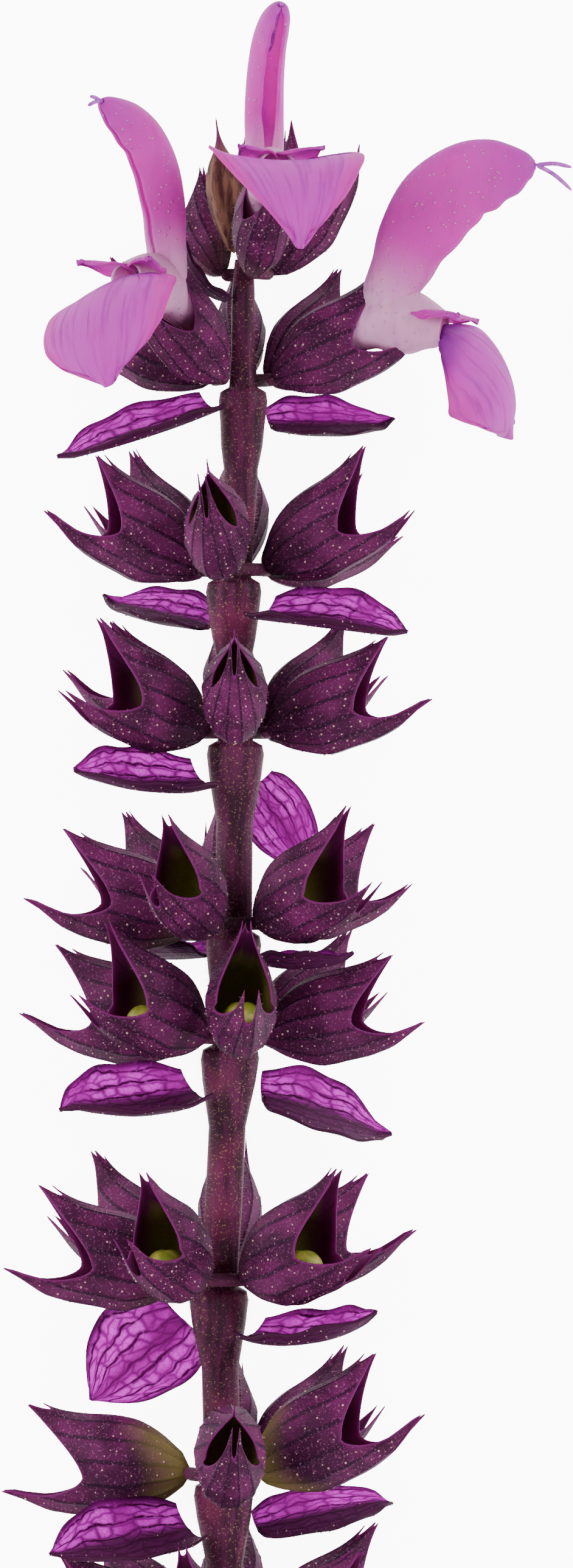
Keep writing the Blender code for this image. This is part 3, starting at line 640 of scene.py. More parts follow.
RIB_DARK = (0.026, 0.0025, 0.022, 1.0)
RIB_GAP = (0.088, 0.007, 0.056, 1.0)
LIP_RIM = (0.120, 0.008, 0.090, 1.0)
MOUTH_GREEN = (0.240, 0.250, 0.035, 1.0)
MOUTH_WINE = (0.075, 0.006, 0.050, 1.0)
BASE_GREEN = (0.17, 0.14, 0.030, 1.0)
CALYX_CLOUD = (0.016, 0.0018, 0.013, 1.0)
CALYX_SPECK = (0.42, 0.13, 0.30, 1.0)
CALYX_THROUGH = (0.22, 0.01, 0.13, 1.0)
LIP_THROUGH = (0.40, 0.02, 0.28, 1.0)
calyx_finish, tree, shader = leaf_material("calyx skin", 0.60, 0.09)
rib_wave = maths(tree, "COSINE", times(tree, painted(tree, "rib"), RIBS * math.pi))
rib_line = ramp(tree, rib_wave, 0.70, 1.0)
reach = painted(tree, "reach")
inside = painted(tree, "inside")
cloud = noise(tree, 500.0, 3.0)
speckle = ramp(tree, noise(tree, 9000.0, 2.0), 0.56, 0.70)
colour = mix(tree, rib_line, RIB_GAP, RIB_DARK)
colour = mix(tree, ramp(tree, cloud, 0.35, 0.62, 0.0, 0.75), colour, CALYX_CLOUD)
colour = mix(tree, times(tree, speckle, 0.30), colour, CALYX_SPECK)
paleness = times(tree, ramp(tree, reach, 0.50, 0.08), ramp(tree, painted(tree, "tone"), 0.5, 1.0))
colour = mix(tree, times(tree, paleness, 0.75), colour, BASE_GREEN)
colour = mix(tree, ramp(tree, reach, 0.97, 1.0), colour, LIP_RIM)
mouth = mix(tree, ramp(tree, reach, 0.40, 0.78), MOUTH_GREEN, MOUTH_WINE)
mouth = mix(tree, ramp(tree, reach, 0.97, 1.0), mouth, LIP_RIM)
colour = mix(tree, inside, colour, mouth)
tree.links.new(colour, shader.inputs["Base Color"])
raise_surface(tree, shader, maths(tree, "ADD", rib_line, times(tree, speckle, 0.5)), 0.05)
through = mix(tree, ramp(tree, reach, 0.85, 1.0), CALYX_THROUGH, LIP_THROUGH)
share = larger(tree, ramp(tree, reach, 0.80, 1.0, 0.14, 0.26), times(tree, inside, 0.30))
let_light_through(tree, shader, share, through)

GLAND_AMBER = (0.50, 0.30, 0.28, 1.0)
GLAND_THROUGH = (0.8, 0.55, 0.5, 1.0)
gland_finish, tree, shader = leaf_material("gland", 0.25)
shader.inputs["Base Color"].default_value = GLAND_AMBER
let_light_through(tree, shader, 0.3, GLAND_THROUGH)
gland_tree = scatter_tree("glands", "gland", False)

random = np.random.default_rng(SEED)
for label, calyces in WHORLS.items():
    number = int(label.split("_")[0])
    height = NODES[number][0] if number else APEX_HEIGHT
    skin = Skin()
    add_stalk(skin, height, calyces)
    for azimuth, pitch, size in calyces:
        shut = 1.0 if SHUT.get(label) == azimuth else 0.0
        shut = FLOWERING_AMOUNT if FLOWERING.get(label) == azimuth else shut
        green = 1.0 if GREEN_BASED.get(label) == azimuth else 0.0
        add_calyx(skin, calyx_seat(height, azimuth, pitch, size), shut, green, random)
    cyme = skin.object(f"calyces_{label}_fine", calyx_finish)
    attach(cyme, "root")
    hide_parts(f"calyces_{label}")
    hairs = scatter(f"calyx_hairs_{label}", cyme, hair_tree, hair_finish, seed=number, spacing=0.12,
                    density=6.0, radius=0.0055, length=0.15)
    glands = scatter(f"calyx_glands_{label}", cyme, gland_tree, gland_finish, seed=number,
                     spacing=0.30, density=10.0, radius=0.056)

# Nutlets
# Young seeds, round and yellow-green, one in each of four calyces whose mouths face up. Each is
# held a little clear of the calyx's walls.
NUTLETS = {"5_left": [84, 137], "6_right": [117, 46]}
NUTLET_RADIUS = 1.08
NUTLET_PLACE = (4.0, -0.55)
NUTLET_LOBING = 0.10
NUTLET_ROWS = 16
NUTLET_SIDES = 24
NUTLET_GREEN = (0.12, 0.14, 0.014, 1.0)
NUTLET_YELLOW = (0.28, 0.24, 0.040, 1.0)
NUTLET_THROUGH = (0.40, 0.45, 0.06, 1.0)
seed_finish, tree, shader = leaf_material("nutlet skin", 0.45)
colour = mix(tree, ramp(tree, noise(tree, 1600.0), 0.4, 0.65), NUTLET_GREEN, NUTLET_YELLOW)
tree.links.new(colour, shader.inputs["Base Color"])
let_light_through(tree, shader, 0.2, NUTLET_THROUGH)
skin = Skin()
for label, azimuths in NUTLETS.items():
    for azimuth, pitch, size in WHORLS[label]:
        if azimuth in azimuths:
            seat = calyx_seat(NODES[int(label[0])][0], azimuth, pitch, size)
            polar = np.linspace(0.0, np.pi, NUTLET_ROWS)[:, None]
            turn = full_turn(NUTLET_SIDES)[None, :]
            lobed = NUTLET_RADIUS * np.sin(polar) * (1.0 - NUTLET_LOBING * np.cos(2.0 * turn) ** 8)
            rings = seat.place(NUTLET_PLACE[0] - NUTLET_RADIUS * np.cos(polar),
                               NUTLET_PLACE[1] + lobed * np.cos(turn), lobed * np.sin(turn))
            skin.add_tube(rings)
nutlets = skin.object("nutlets", seed_finish)
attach(nutlets, "root")

# Bracts
# One thin boat-shaped leaf grows from the stem below each half whorl. Light shines through it,
# and its veins run in curves from base to tip with a net between them.
# Table of bracts: azimuth, drop below the whorl, length, width, pitch of the base and of the tip,
# cup and roll
BRACTS = {
    "1_left": (150, 1.5, 9.2, 4.2, -20, -14, 54, 14),
    "1_right": (-28, 2.3, 6.6, 4.2, -4, 10, 50, 32),
    "2_right": (40, 2.3, 9.2, 4.8, -4, -10, 54, 20),
    "2_left": (225, 2.8, 7.4, 4.0, 8, 14, 52, 22),
    "3_left": (146, 2.5, 8.2, 5.2, -8, 18, 54, 26),
    "3_right": (-56, 2.6, 6.0, 3.6, -40, -70, 30, -45),
    "4_right": (44, 1.9, 6.4, 3.0, -10, 16, 60, 0),
    "4_left": (222, 1.6, 5.0, 3.4, -6, 4, 56, 0),
    "5_left": (148, 2.8, 8.4, 5.4, -14, 12, 56, 28),
    "5_right": (-26, 3.1, 7.4, 5.0, -14, -20, 42, 42),
    "6_right": (38, 2.8, 8.8, 4.8, -10, 30, 54, 16),
    "6_left": (206, 2.2, 6.4, 6.0, -34, -54, 24, -50),
    "7_left": (150, 2.8, 8.2, 5.6, -12, 2, 52, 30),
    "7_right": (-26, 2.9, 7.4, 3.8, 6, 16, 48, 34),
    "8_right": (46, 2.6, 9.2, 5.2, -12, 8, 56, 18),
    "8_left": (214, 2.6, 8.4, 5.2, -6, -10, 48, 28),
    "0_left": (158, 1.3, 4.4, 2.6, 6, 96, 36, 10),
}
# Bracts that hang open, with both halves lit through
HANGING = ("3_right", "6_left")
APEX_NODE_RADIUS = 0.62
# Thickness of the blade, and how much thicker and how wide its midrib is
BLADE = 0.13
MIDRIB_GROWTH = 0.9
MIDRIB_WIDTH = 0.10
BRACT_ROWS = 40
BRACT_COLUMNS = 25
# Outline: where it is widest, how narrow its base and its point are, and how it tapers
WIDEST_AT = 0.34
TIP_RUN = 0.66
BASE_SHARE = 0.62
TAPER = 1.4
POINT_SHARE = 0.015
# Waved edge, bulges between the veins and hooked tip
VEINS = 3.5
WAVE = 0.10
WAVE_RATE = 17.0
WAVE_SLANT = 2.0
QUILT = 0.035
HOOK = 0.35
HOOK_START = 0.9
HOOK_RUN = 0.1
# How far the painted shade on the half that faces the camera reaches past the midrib, how far it
# draws back when the bract hangs open, how sharply it ends, and how many glands that half has
SHADE_REACH = 0.38
SHADE_RETREAT = 2.0
SHADE_EDGE = 3.5
SHADED_HALF_GLANDS = 0.6


def bract_width(share):
    """Half width of an ovate leaf with a drawn-out tip, as a share of its widest."""
    swell = np.sin(np.pi / 2.0 * np.clip(share / WIDEST_AT, 0.0, 1.0))
    low = BASE_SHARE + (1.0 - BASE_SHARE) * swell
    high = np.cos(np.pi / 2.0 * np.clip((share - WIDEST_AT) / TIP_RUN, 0.0, 1.0) ** TAPER)
    return np.where(share < WIDEST_AT, low, np.maximum(high, POINT_SHARE))


def add_bract(skin, seat, length, width, bend, cup, hanging, random):
    """One leaf that bends evenly along its midrib, with painted shade on its upper half, the half facing
    the camera, unless it hangs open.
    """
    share = np.linspace(0.0, 1.0, BRACT_ROWS)[:, None]
    direction = np.radians(bend * share)
    step = np.diff(share, axis=0, prepend=0.0) * length
    along = np.cumsum(step * np.cos(direction))[:, None]
    rise = np.cumsum(step * np.sin(direction))[:, None]
    column = np.linspace(-1.0, 1.0, BRACT_COLUMNS)[None, :]
    half = width / 2.0 * bract_width(share)
    half_cup = math.radians(cup)
    turn = half_cup * column
    lift = half * (1.0 - np.cos(turn)) / half_cup
    phase = random.uniform(0.0, 6.0, 2)
    wave = WAVE * column ** 4 * np.sin(share * WAVE_RATE + phase[0] + column * WAVE_SLANT)
    quilt = QUILT * np.abs(np.sin(column * np.pi * VEINS)) * np.sin(share * np.pi)
    hook = HOOK * np.clip(share - HOOK_START, 0.0, HOOK_RUN) / HOOK_RUN * math.sin(phase[1])
    middle = seat.place(along, rise + lift + wave + quilt + hook, half * np.sin(turn) / half_cup)
    # Painted shade: the half of the leaf that faces the camera is marked here to be drawn darker and to
    # let less light through
    near = column * np.sign(seat.side[2])
    outer = np.clip((near + SHADE_REACH - SHADE_RETREAT * hanging) * SHADE_EDGE, 0.0, 1.0)
    thickness = BLADE * (1.0 + MIDRIB_GROWTH * np.exp(-(column[..., None] / MIDRIB_WIDTH) ** 2))
    thicken(skin, middle, thickness, reach=share, across=column, hair=0.6, outer=outer,
            gland=outer * SHADED_HALF_GLANDS)


BRACT_BRIGHT = (0.88, 0.130, 0.86, 1.0)
BRACT_VEIN = (0.085, 0.003, 0.065, 1.0)
# Painted shade: colour of the half of a bract that faces the camera
BRACT_PAINTED_SHADE = (0.060, 0.006, 0.046, 1.0)
FACE_DARK = (0.20, 0.016, 0.16, 1.0)
FACE_PALE = (0.34, 0.035, 0.30, 1.0)
FACE_VEIN = (0.030, 0.003, 0.020, 1.0)
GLOW_SPECK = (0.85, 0.50, 0.85, 1.0)
GLOW_CLOUD = (0.40, 0.020, 0.36, 1.0)
GLOW_MIDRIB = (0.26, 0.010, 0.22, 1.0)
bract_finish, tree, shader = leaf_material("bract skin", 0.60, 0.07)
across = painted(tree, "across")
reach = painted(tree, "reach")
unevenness = times(tree, maths(tree, "SUBTRACT", noise(tree, 620.0), 0.5), 0.42)
bent = maths(tree, "ADD", across, unevenness)
stripes = maths(tree, "ABSOLUTE", maths(tree, "SINE", times(tree, bent, math.pi * VEINS)))
long_veins = ramp(tree, stripes, 0.50, 0.10)
place = add_node(tree, "ShaderNodeCombineXYZ", {0: times(tree, reach, 7.0),
                                                1: times(tree, bent, 5.5)}).outputs[0]
cells = add_node(tree, "ShaderNodeTexVoronoi", {"Vector": place, "Scale": 1.0, "Randomness": 0.9},
                 feature="DISTANCE_TO_EDGE", voronoi_dimensions="2D").outputs["Distance"]
net = ramp(tree, cells, 0.20, 0.0)
small = add_node(tree, "ShaderNodeTexVoronoi", {"Vector": place, "Scale": 3.4},
                 feature="DISTANCE_TO_EDGE", voronoi_dimensions="2D").outputs["Distance"]
fine_net = times(tree, ramp(tree, small, 0.12, 0.02), 0.35)
veins = larger(tree, larger(tree, long_veins, times(tree, net, 0.70)), fine_net)
edge = ramp(tree, maths(tree, "ABSOLUTE", across), 0.80, 0.98)
veins = larger(tree, veins, times(tree, edge, 0.9))
# Painted shade: the half that faces the camera gets a dark colour
outer = painted(tree, "outer")
colour = mix(tree, ramp(tree, noise(tree, 600.0), 0.35, 0.7), FACE_DARK, FACE_PALE)
colour = mix(tree, outer, colour, BRACT_PAINTED_SHADE)
colour = mix(tree, veins, colour, FACE_VEIN)
tree.links.new(colour, shader.inputs["Base Color"])
raise_surface(tree, shader, veins, 0.06)
glow = mix(tree, veins, BRACT_BRIGHT, BRACT_VEIN)
glow = mix(tree, ramp(tree, noise(tree, 3000.0, 1.0), 0.55, 0.75, 0.0, 0.35), glow, GLOW_SPECK)
glow = mix(tree, ramp(tree, noise(tree, 450.0, 3.0), 0.45, 0.65, 0.0, 0.6), glow, GLOW_CLOUD)
glow = mix(tree, ramp(tree, maths(tree, "ABSOLUTE", across), 0.35, 0.0, 0.0, 0.6), glow, GLOW_MIDRIB)
# Painted shade also cuts the light let through on the half that faces the camera
let_light_through(tree, shader, ramp(tree, outer, 0.0, 1.0, 0.80, 0.14), glow)

for label, bract in BRACTS.items():
    azimuth, drop, length, width, base_pitch, tip_pitch, cup, roll = bract
    number = int(label.split("_")[0])
    height, swelling = NODES[number] if number else (APEX_HEIGHT, APEX_NODE_RADIUS)
    origin = stem_point(height - drop, azimuth, swelling + SEAT_GAP)
    skin = Skin()
    add_bract(skin, Seat(origin, azimuth, base_pitch, 1.0, roll), length, width,
              tip_pitch - base_pitch, cup, label in HANGING, random)
    leaf = skin.object(f"bract_{label}_fine", bract_finish)
    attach(leaf, "root")
    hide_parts(f"bract_{label}")
    hairs = scatter(f"bract_hairs_{label}", leaf, hair_tree, hair_finish, seed=number, spacing=0.14,
                    density=4.0, radius=0.0055, length=0.14)
    if label not in HANGING:
        glands = scatter(f"bract_glands_{label}", leaf, gland_tree, gland_finish, seed=number,
                         spacing=0.36, density=4.0, radius=0.045)

# Apex buds
# Two closed brown buds with drawn-out points sit on the growing tip of the stem.
# Table of buds: azimuth and distance from the stem's axis, lean, length and half width
APEX_BUDS = [(168, 0.50, 8, 6.8, 0.85), (60, 0.20, 0, 6.9, 0.55)]
BUD_ROWS = 30
BUD_SIDES = 24
BUD_FLUTES = 8.0
BUD_FLUTE_DEPTH = 0.06
# Share of the bud's length, and half width there as a share of its own
BUD_PROFILE = [(0.0, 0.30), (0.08, 0.50), (0.22, 0.86), (0.36, 1.06), (0.52, 1.06), (0.66, 0.76),
               (0.76, 0.36), (0.84, 0.14), (1.0, 0.03)]
BUD_DARK = (0.040, 0.013, 0.014, 1.0)
BUD_BROWN = (0.15, 0.070, 0.045, 1.0)
BUD_TIP = (0.10, 0.014, 0.06, 1.0)
BUD_THROUGH = (0.5, 0.15, 0.10, 1.0)
bud_finish, tree, shader = leaf_material("bud skin", 0.6, 0.10)
stripes = noise(tree, 3200.0, 3.0, (1.0, 0.2, 1.0))
colour = mix(tree, ramp(tree, stripes, 0.38, 0.62), BUD_DARK, BUD_BROWN)
colour = mix(tree, ramp(tree, painted(tree, "reach"), 0.68, 0.85), colour, BUD_TIP)
tree.links.new(colour, shader.inputs["Base Color"])
raise_surface(tree, shader, stripes, 0.08)
let_light_through(tree, shader, 0.15, BUD_THROUGH)
skin = Skin()
for azimuth, distance, lean, length, half_width in APEX_BUDS:
    seat = Seat(stem_point(STEM_TOP + SEAT_GAP, azimuth, distance), azimuth, 90.0 - lean)
    share = np.linspace(0.0, 1.0, BUD_ROWS)
    width = smooth(share, *zip(*BUD_PROFILE)) * half_width
    turn = full_turn(BUD_SIDES)
    fluted = width[:, None] * (1.0 + BUD_FLUTE_DEPTH * np.cos(BUD_FLUTES * turn))
    rings = seat.place(share[:, None] * length, np.cos(turn) * fluted, np.sin(turn) * fluted)
    rings[0], rings[-1] = rings[0].mean(axis=0), rings[-1].mean(axis=0)
    skin.add_tube(rings, reach=np.repeat(share, BUD_SIDES), hair=1.0)
buds = skin.object("apex_buds_fine", bud_finish)
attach(buds, "root")
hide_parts("apex_buds")
bud_hairs = scatter("bud_hairs", buds, hair_tree, hair_finish, seed=5, spacing=0.10, density=10.0,
                    radius=0.0055, length=0.16)

# Open flowers
# A thin silky corolla held by its tube in the mouth of a calyx: a sickle-shaped hood over the
# style, a broad hanging lower lip and two small side lobes.
# Stations of both sheets: along, rise, half depth, half width and how far open underneath
HOOD = [(5.2, 2.8, 1.00, 0.80, 0.0), (5.8, 3.9, 1.25, 1.00, 0.0), (6.5, 5.3, 1.45, 1.08, 0.5),
        (7.2, 6.8, 1.80, 1.08, 1.0), (8.3, 8.4, 2.05, 1.02, 1.0), (9.6, 9.5, 1.90, 0.96, 1.0),
        (10.9, 9.95, 1.70, 0.88, 1.0), (12.0, 10.15, 1.25, 0.74, 1.0), (12.8, 10.3, 0.70, 0.50, 0.8),
        (13.2, 10.35, 0.20, 0.18, 0.0)]
THROAT = [(3.2, 1.8, 0.70, 0.62, 0.0), (4.4, 2.4, 1.00, 0.88, 0.0), (5.6, 2.75, 1.40, 1.08, 0.0),
          (6.8, 2.75, 1.55, 1.15, 0.0), (7.9, 2.55, 1.20, 1.10, 0.2), (8.7, 2.4, 0.75, 1.00, 0.3)]
LIP_START = (8.6, 2.4)
LIP_WIDTH = 8.8
SIDE_LOBE_START = (7.3, 3.2)
SIDE_LOBE_LENGTH = 3.7
SIDE_LOBE_WIDTH = 2.1
SIDE_LOBE_SPREAD = 44.0
SIDE_LOBE_BENDS = (8.0, -24.0)
SIDE_LOBE_CUP = 34.0
SIDE_LOBE_RUFFLE = 0.12
FLOWER_PITCH = 20.0
STYLE_STEM = [(9.6, 9.3), (11.2, 9.9), (12.4, 10.3), (12.9, 10.35), (13.5, 10.35)]
STYLE_FORKS = [[(13.3, 10.35), (14.2, 10.40), (15.1, 10.20)],
               [(13.3, 10.35), (14.2, 9.85), (15.1, 9.05)]]
STYLE_RADIUS = 0.13
FORK_RADIUS = 0.11
THREAD_ROWS = 16
THREAD_SIDES = 10
# Share of a lobe's length, and half width there as a share of its own
ROUND_LOBE = [(0.0, 0.26), (0.10, 0.55), (0.24, 0.90), (0.42, 1.0), (0.62, 0.97), (0.80, 0.82),
              (0.93, 0.55), (1.0, 0.24)]
FAN_LOBE = [(0.0, 0.42), (0.08, 0.86), (0.20, 1.03), (0.36, 1.02), (0.54, 0.86), (0.74, 0.62),
            (0.90, 0.36), (1.0, 0.14)]
SMALL_LOBE = [(0.0, 0.55), (0.4, 1.0), (0.75, 0.80), (1.0, 0.12)]
# Height, azimuth, pitch and size of the flower, depth of its hood and angle of the slit below it,
# turn of the lip towards the viewer, its length, cup, ruffle and shape, and share of the style shown
FLOWERS = {
    "right": (79.4, 12, 20, 1.00, 1.00, 5.0, 30.0, 7.6, 50.0, 0.30, ROUND_LOBE, 1.0),
    "left": (79.4, 132, 38, 0.94, 0.66, 5.0, -14.0, 7.8, 18.0, 0.10, ROUND_LOBE, 0.45),
    "front": (APEX_HEIGHT, 76, 45, 0.84, 0.76, 30.0, 0.0, 8.8, -16.0, 0.16, FAN_LOBE, 0.1),
}
LIP_BENDS = {"right": (-2.0, -112.0), "left": (-16.0, -112.0), "front": (-2.0, -116.0)}
# Thickness of a petal
PETAL = 0.12
ARCH_ROWS = 54
ARCH_COLUMNS = 33
ARCH_HALF_TURN = 176.0
SLIT_PINCH = 0.25
RIPPLE = 0.05
RIPPLE_RATE = 5.0
LOBE_ROWS = 34
LOBE_COLUMNS = 41
LOBE_CURL = 0.8
LOBE_SWEEP = 0.12
# The edge is ruffled all along, and over the last share of its length right across
RUFFLED_FROM = 0.8
RUFFLED_RUN = 0.2
RUFFLES_ACROSS = 8.0
RUFFLES_ALONG = 10.0
RUFFLE_PHASE = 0.7
SWELL_SHARE = 0.4
SWELLS_ALONG = 6.0
SWELLS_ACROSS = 3.0


def add_arch(skin, seat, stations, depth, slit, **paint):
    """Sheet bent into a tube that opens along its underside."""
    knots = np.arange(len(stations), dtype=float)
    at = np.linspace(0.0, knots[-1], ARCH_ROWS)
    along, rise, half_depth, half_width, opening = [smooth(at, knots, column)[:, None]
                                                    for column in zip(*stations)]
    run = np.gradient(np.concatenate([along, rise], axis=1), axis=0)
    run = run / np.linalg.norm(run, axis=1, keepdims=True)
    spread = np.radians(ARCH_HALF_TURN - slit * np.clip(opening, 0.0, 1.0))
    column = np.linspace(-1.0, 1.0, ARCH_COLUMNS)[None, :]
    turn = spread * column
    up = half_depth * depth * np.cos(turn)
    side = half_width * np.sin(turn) * (1.0 - SLIT_PINCH * np.clip(-np.cos(turn), 0.0, 1.0) * opening)
    ripple = RIPPLE * np.sin(at[:, None] * RIPPLE_RATE) * np.abs(column) ** 6
    middle = seat.place(along - run[:, 1:] * (up + ripple), rise + run[:, :1] * (up + ripple), side)
    thicken(skin, middle, PETAL, reach=at[:, None] / knots[-1], across=column, **paint)


def add_lobe(skin, seat, facing, start, length, width, pitch, bend, turned, cup, ruffle, shape, **paint):
    """Petal lobe that leaves the throat, bends down and is waved at its edge."""
    turned = math.radians(turned)
    forward = facing.along * math.cos(turned) + facing.side * math.sin(turned)
    sideways = facing.side * math.cos(turned) - facing.along * math.sin(turned)
    share = np.linspace(0.0, 1.0, LOBE_ROWS)[:, None]
    direction = np.radians(pitch + bend * share ** LOBE_CURL)
    step = np.diff(share, axis=0, prepend=0.0) * length
    along = np.cumsum(step * np.cos(direction))[:, None]
    rise = np.cumsum(step * np.sin(direction))[:, None]
    column = np.linspace(-1.0, 1.0, LOBE_COLUMNS)[None, :]
    half = width / 2.0 * smooth(share, *zip(*shape))
    half_cup = math.radians(cup)
    angle = half_cup * column
    lift = half * (1.0 - np.cos(angle)) / half_cup
    back = LOBE_SWEEP * column ** 2 * share * length
    tip = np.clip((share - RUFFLED_FROM) / RUFFLED_RUN, 0.0, 1.0)
    edge = np.maximum(np.abs(column) ** 5, tip ** 2)
    waves = ruffle * edge * np.sin(column * RUFFLES_ACROSS + share * RUFFLES_ALONG + RUFFLE_PHASE)
    swells = np.sin(share * SWELLS_ALONG + column * SWELLS_ACROSS)
    waves = waves + SWELL_SHARE * ruffle * swells * share
    cosine, sine = np.cos(direction), np.sin(direction)
    out = along - cosine * back + sine * (lift + waves)
    up = rise - sine * back - cosine * (lift + waves)
    origin = seat.place(np.float64(start[0]), np.float64(start[1]), np.float64(0.0))
    middle = origin + (out[..., None] * forward + up[..., None] * facing.dorsal
                       + (half * np.sin(angle) / half_cup)[..., None] * sideways) * seat.size
    thicken(skin, middle, PETAL, reach=share, across=column, **paint)


def add_thread(skin, seat, path, radius):
    """Round thread along a smooth path, rounded off at its far end."""
    knots = np.arange(len(path), dtype=float)
    at = np.linspace(0.0, knots[-1], THREAD_ROWS)
    along, rise = (smooth(at, knots, column)[:, None] for column in zip(*path))
    run = np.gradient(np.concatenate([along, rise], axis=1), axis=0)
    run = run / np.linalg.norm(run, axis=1, keepdims=True)
    turn = full_turn(THREAD_SIDES)[None, :]
    thick = radius * np.sqrt(np.clip(1.0 - (at / knots[-1])[:, None] ** 8, 0.0, 1.0))
    depth = thick * np.cos(turn)
    rings = seat.place(along - run[:, 1:] * depth, rise + run[:, :1] * depth, thick * np.sin(turn))
    rings[0], rings[-1] = rings[0].mean(axis=0), rings[-1].mean(axis=0)
    skin.add_tube(rings)


HOOD_PINK = (0.66, 0.040, 0.50, 1.0)
HOOD_TIP = (0.40, 0.025, 0.42, 1.0)
HOOD_CREST = (0.38, 0.025, 0.44, 1.0)
THROAT_PALE = (0.76, 0.42, 0.64, 1.0)
LIP_LILAC = (0.56, 0.040, 0.50, 1.0)
LIP_EDGE = (0.60, 0.025, 0.40, 1.0)
LIP_THROAT = (0.20, 0.010, 0.26, 1.0)
LIP_VEIN = (0.34, 0.015, 0.34, 1.0)
PETAL_DOT = (0.92, 0.60, 0.82, 1.0)
PETAL_STREAK = (0.42, 0.03, 0.30, 1.0)
PETAL_CLOUD = (0.50, 0.09, 0.50, 1.0)
petal_finish, tree, shader = leaf_material("petal skin", 0.50, 0.15)
lip = painted(tree, "lip")
reach = painted(tree, "reach")
across = maths(tree, "ABSOLUTE", painted(tree, "across"))
colour = mix(tree, ramp(tree, reach, 0.55, 0.95, 0.0, 0.5), HOOD_PINK, HOOD_TIP)
colour = mix(tree, ramp(tree, across, 0.30, 0.0, 0.0, 0.55), colour, HOOD_CREST)
pale = larger(tree, ramp(tree, reach, 0.34, 0.06), painted(tree, "pale"))
colour = mix(tree, pale, colour, THROAT_PALE)
lip_colour = mix(tree, ramp(tree, across, 0.60, 1.0), LIP_LILAC, LIP_EDGE)
lip_colour = mix(tree, ramp(tree, reach, 0.26, 0.03), lip_colour, LIP_THROAT)
colour = mix(tree, lip, colour, lip_colour)
place = add_node(tree, "ShaderNodeTexCoord").outputs["Object"]
dots = add_node(tree, "ShaderNodeTexVoronoi", {"Vector": place, "Scale": 2600.0}).outputs["Distance"]
dots = times(tree, ramp(tree, dots, 0.26, 0.10), maths(tree, "SUBTRACT", 1.0, lip))
colour = mix(tree, times(tree, dots, 0.32), colour, PETAL_DOT)
lines = noise(tree, 1500.0, 5.0, (1.0, 0.25, 1.0))
colour = mix(tree, ramp(tree, lines, 0.5, 0.75, 0.0, 0.30), colour, PETAL_STREAK)
fan = add_node(tree, "ShaderNodeCombineXYZ", {0: times(tree, painted(tree, "across"), 9.0),
                                              1: times(tree, reach, 1.4)}).outputs[0]
fan = add_node(tree, "ShaderNodeTexNoise", {"Vector": fan, "Scale": 1.0, "Detail": 4.0}).outputs["Fac"]
fan = times(tree, ramp(tree, fan, 0.48, 0.68, 0.0, 0.6), lip)
colour = mix(tree, fan, colour, LIP_VEIN)
soft = noise(tree, 900.0, 4.0)
colour = mix(tree, ramp(tree, soft, 0.35, 0.7, 0.0, 0.22), colour, PETAL_CLOUD)
tree.links.new(colour, shader.inputs["Base Color"])
raise_surface(tree, shader, maths(tree, "SUBTRACT", maths(tree, "ADD", soft, dots), fan), 0.14)
let_light_through(tree, shader, 0.55, colour)

STYLE_DARK = (0.23, 0.030, 0.30, 1.0)
STYLE_LILAC = (0.42, 0.09, 0.45, 1.0)
style_finish, tree, shader = leaf_material("style skin", 0.35)
colour = mix(tree, ramp(tree, noise(tree, 2500.0), 0.4, 0.7), STYLE_DARK, STYLE_LILAC)
tree.links.new(colour, shader.inputs["Base Color"])

for label, flower in FLOWERS.items():
    height, azimuth, pitch, size, depth, slit, turn, length, cup, ruffle, lobe, shown = flower
    radius = stem_at(height)[1] + SEAT_GAP + NECK
    seat = Seat(stem_point(height, azimuth, radius), azimuth, pitch - FLOWER_PITCH, size)
    facing = Seat(seat.origin, azimuth, pitch - FLOWER_PITCH, size, turn)
    skin = Skin()
    add_arch(skin, seat, HOOD, depth, slit, lip=0.0)
    add_arch(skin, seat, THROAT, 1.0, 0.0, lip=0.0, pale=1.0)
    add_lobe(skin, seat, facing, LIP_START, length, LIP_WIDTH, *LIP_BENDS[label], 0.0, cup, ruffle,
             lobe, lip=1.0)
    for spread in (SIDE_LOBE_SPREAD, -SIDE_LOBE_SPREAD):
        add_lobe(skin, seat, seat, SIDE_LOBE_START, SIDE_LOBE_LENGTH, SIDE_LOBE_WIDTH, *SIDE_LOBE_BENDS,
                 spread, SIDE_LOBE_CUP, SIDE_LOBE_RUFFLE, SMALL_LOBE, lip=0.4)
    corolla = skin.object(f"corolla_{label}_fine", petal_finish)
    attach(corolla, "root")
    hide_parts(f"corolla_{label}")
    skin = Skin()
    add_thread(skin, seat, STYLE_STEM, STYLE_RADIUS)
    for fork in STYLE_FORKS:
        start = np.array(fork[0])
        path = [tuple(start + (np.array(point) - start) * shown) for point in fork]
        add_thread(skin, seat, path, FORK_RADIUS)
    style = skin.object(f"style_{label}", style_finish)
    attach(style, "root")

# Surface, light and camera
# The spike lies on a lit white plate, seen straight from above as in the photograph.
FLOOR_HALF = 1.5
FLOOR_DROP = -0.00002
# Strength of the plate's own light, as it falls on the spike and as the camera sees it
PLATE_LIGHT = 2.4
PLATE_SEEN = 9.0
SKY_LIGHT = 0.30
WHITE = (1.0, 1.0, 1.0, 1.0)
PLATE_WHITE = (0.92, 0.92, 0.92, 1.0)
# Place, size in metres and power in watts
LAMPS = {"left": ((-0.32, 0.10, 0.30), 0.30, 3.2), "right": ((0.34, 0.16, 0.28), 0.30, 3.2),
         "near": ((0.02, -0.34, 0.34), 0.30, 2.2)}
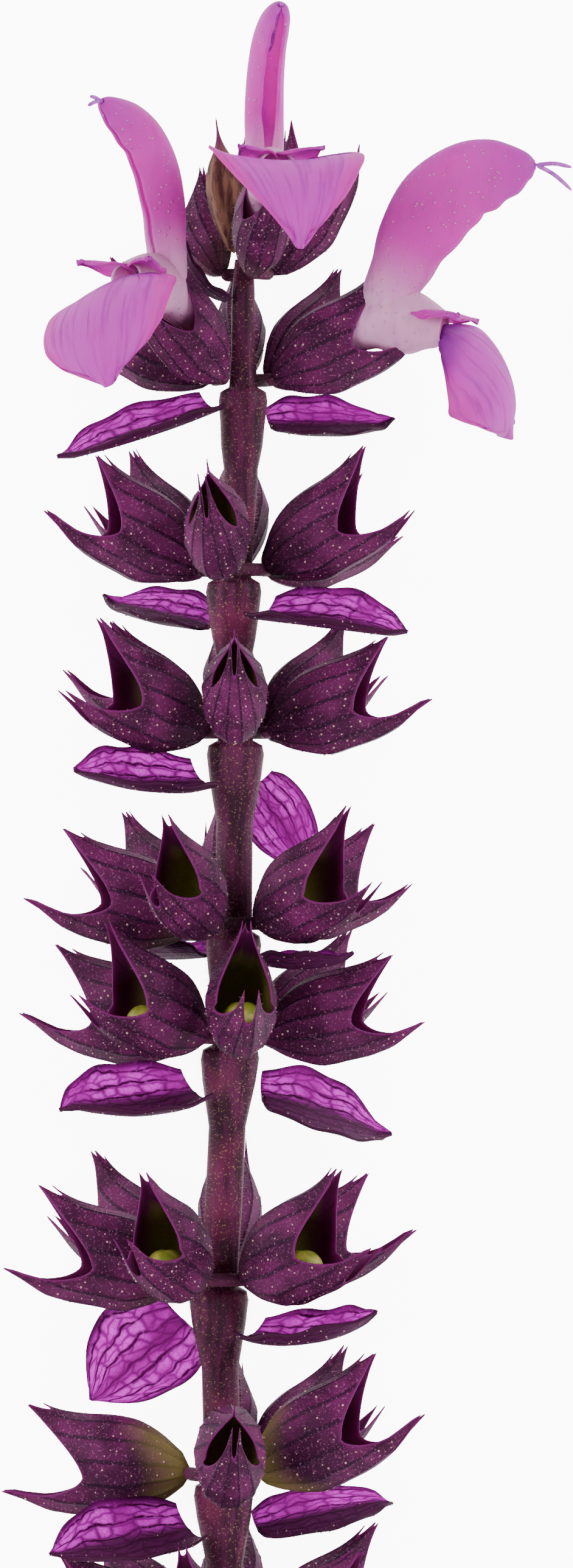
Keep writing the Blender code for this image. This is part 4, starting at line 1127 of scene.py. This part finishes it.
# Middle and height of the photograph's frame, measured from the foot of the spike
FRAME_CENTRE = (2.88, 59.46)
FRAME_HEIGHT = 77.28
CAMERA_DISTANCE = 420.0
SENSOR = 36.0
floor_mesh = bpy.data.meshes.new("plate")
floor_mesh.from_pydata([(-FLOOR_HALF, -FLOOR_HALF, FLOOR_DROP), (FLOOR_HALF, -FLOOR_HALF, FLOOR_DROP),
                        (FLOOR_HALF, FLOOR_HALF, FLOOR_DROP), (-FLOOR_HALF, FLOOR_HALF, FLOOR_DROP)],
                       [], [(0, 1, 2, 3)])
floor = bpy.data.objects.new("plate", floor_mesh)
bpy.context.scene.collection.objects.link(floor)
floor_finish, tree, shader = leaf_material("lit plate", 0.6)
shader.inputs["Base Color"].default_value = PLATE_WHITE
shader.inputs["Emission Color"].default_value = WHITE
seen = add_node(tree, "ShaderNodeLightPath").outputs["Is Camera Ray"]
tree.links.new(ramp(tree, seen, 0.0, 1.0, PLATE_LIGHT, PLATE_SEEN), shader.inputs["Emission Strength"])
floor_mesh.materials.append(floor_finish)

world = bpy.data.worlds.new("studio")
bpy.context.scene.world = world
world.use_nodes = True
world.node_tree.nodes["Background"].inputs["Color"].default_value = WHITE
world.node_tree.nodes["Background"].inputs["Strength"].default_value = SKY_LIGHT
for name, (position, size, power) in LAMPS.items():
    lamp = bpy.data.lights.new(f"{name} lamp", "AREA")
    lamp.size = size
    lamp.energy = power
    holder = bpy.data.objects.new(f"{name} lamp", lamp)
    holder.location = position
    direction = np.array(position)
    holder.rotation_euler = (math.acos(direction[2] / np.linalg.norm(direction)), 0.0,
                             math.atan2(direction[1], direction[0]) + math.pi / 2.0)
    bpy.context.scene.collection.objects.link(holder)

lens = bpy.data.cameras.new("camera")
lens.sensor_width = SENSOR
lens.lens = SENSOR * CAMERA_DISTANCE / FRAME_HEIGHT
camera = bpy.data.objects.new("camera", lens)
camera.location = np.array([FOOT[0] + FRAME_CENTRE[0], FOOT[1] + FRAME_CENTRE[1],
                            FOOT[2] + CAMERA_DISTANCE]) * MM
bpy.context.scene.collection.objects.link(camera)
bpy.context.scene.camera = camera
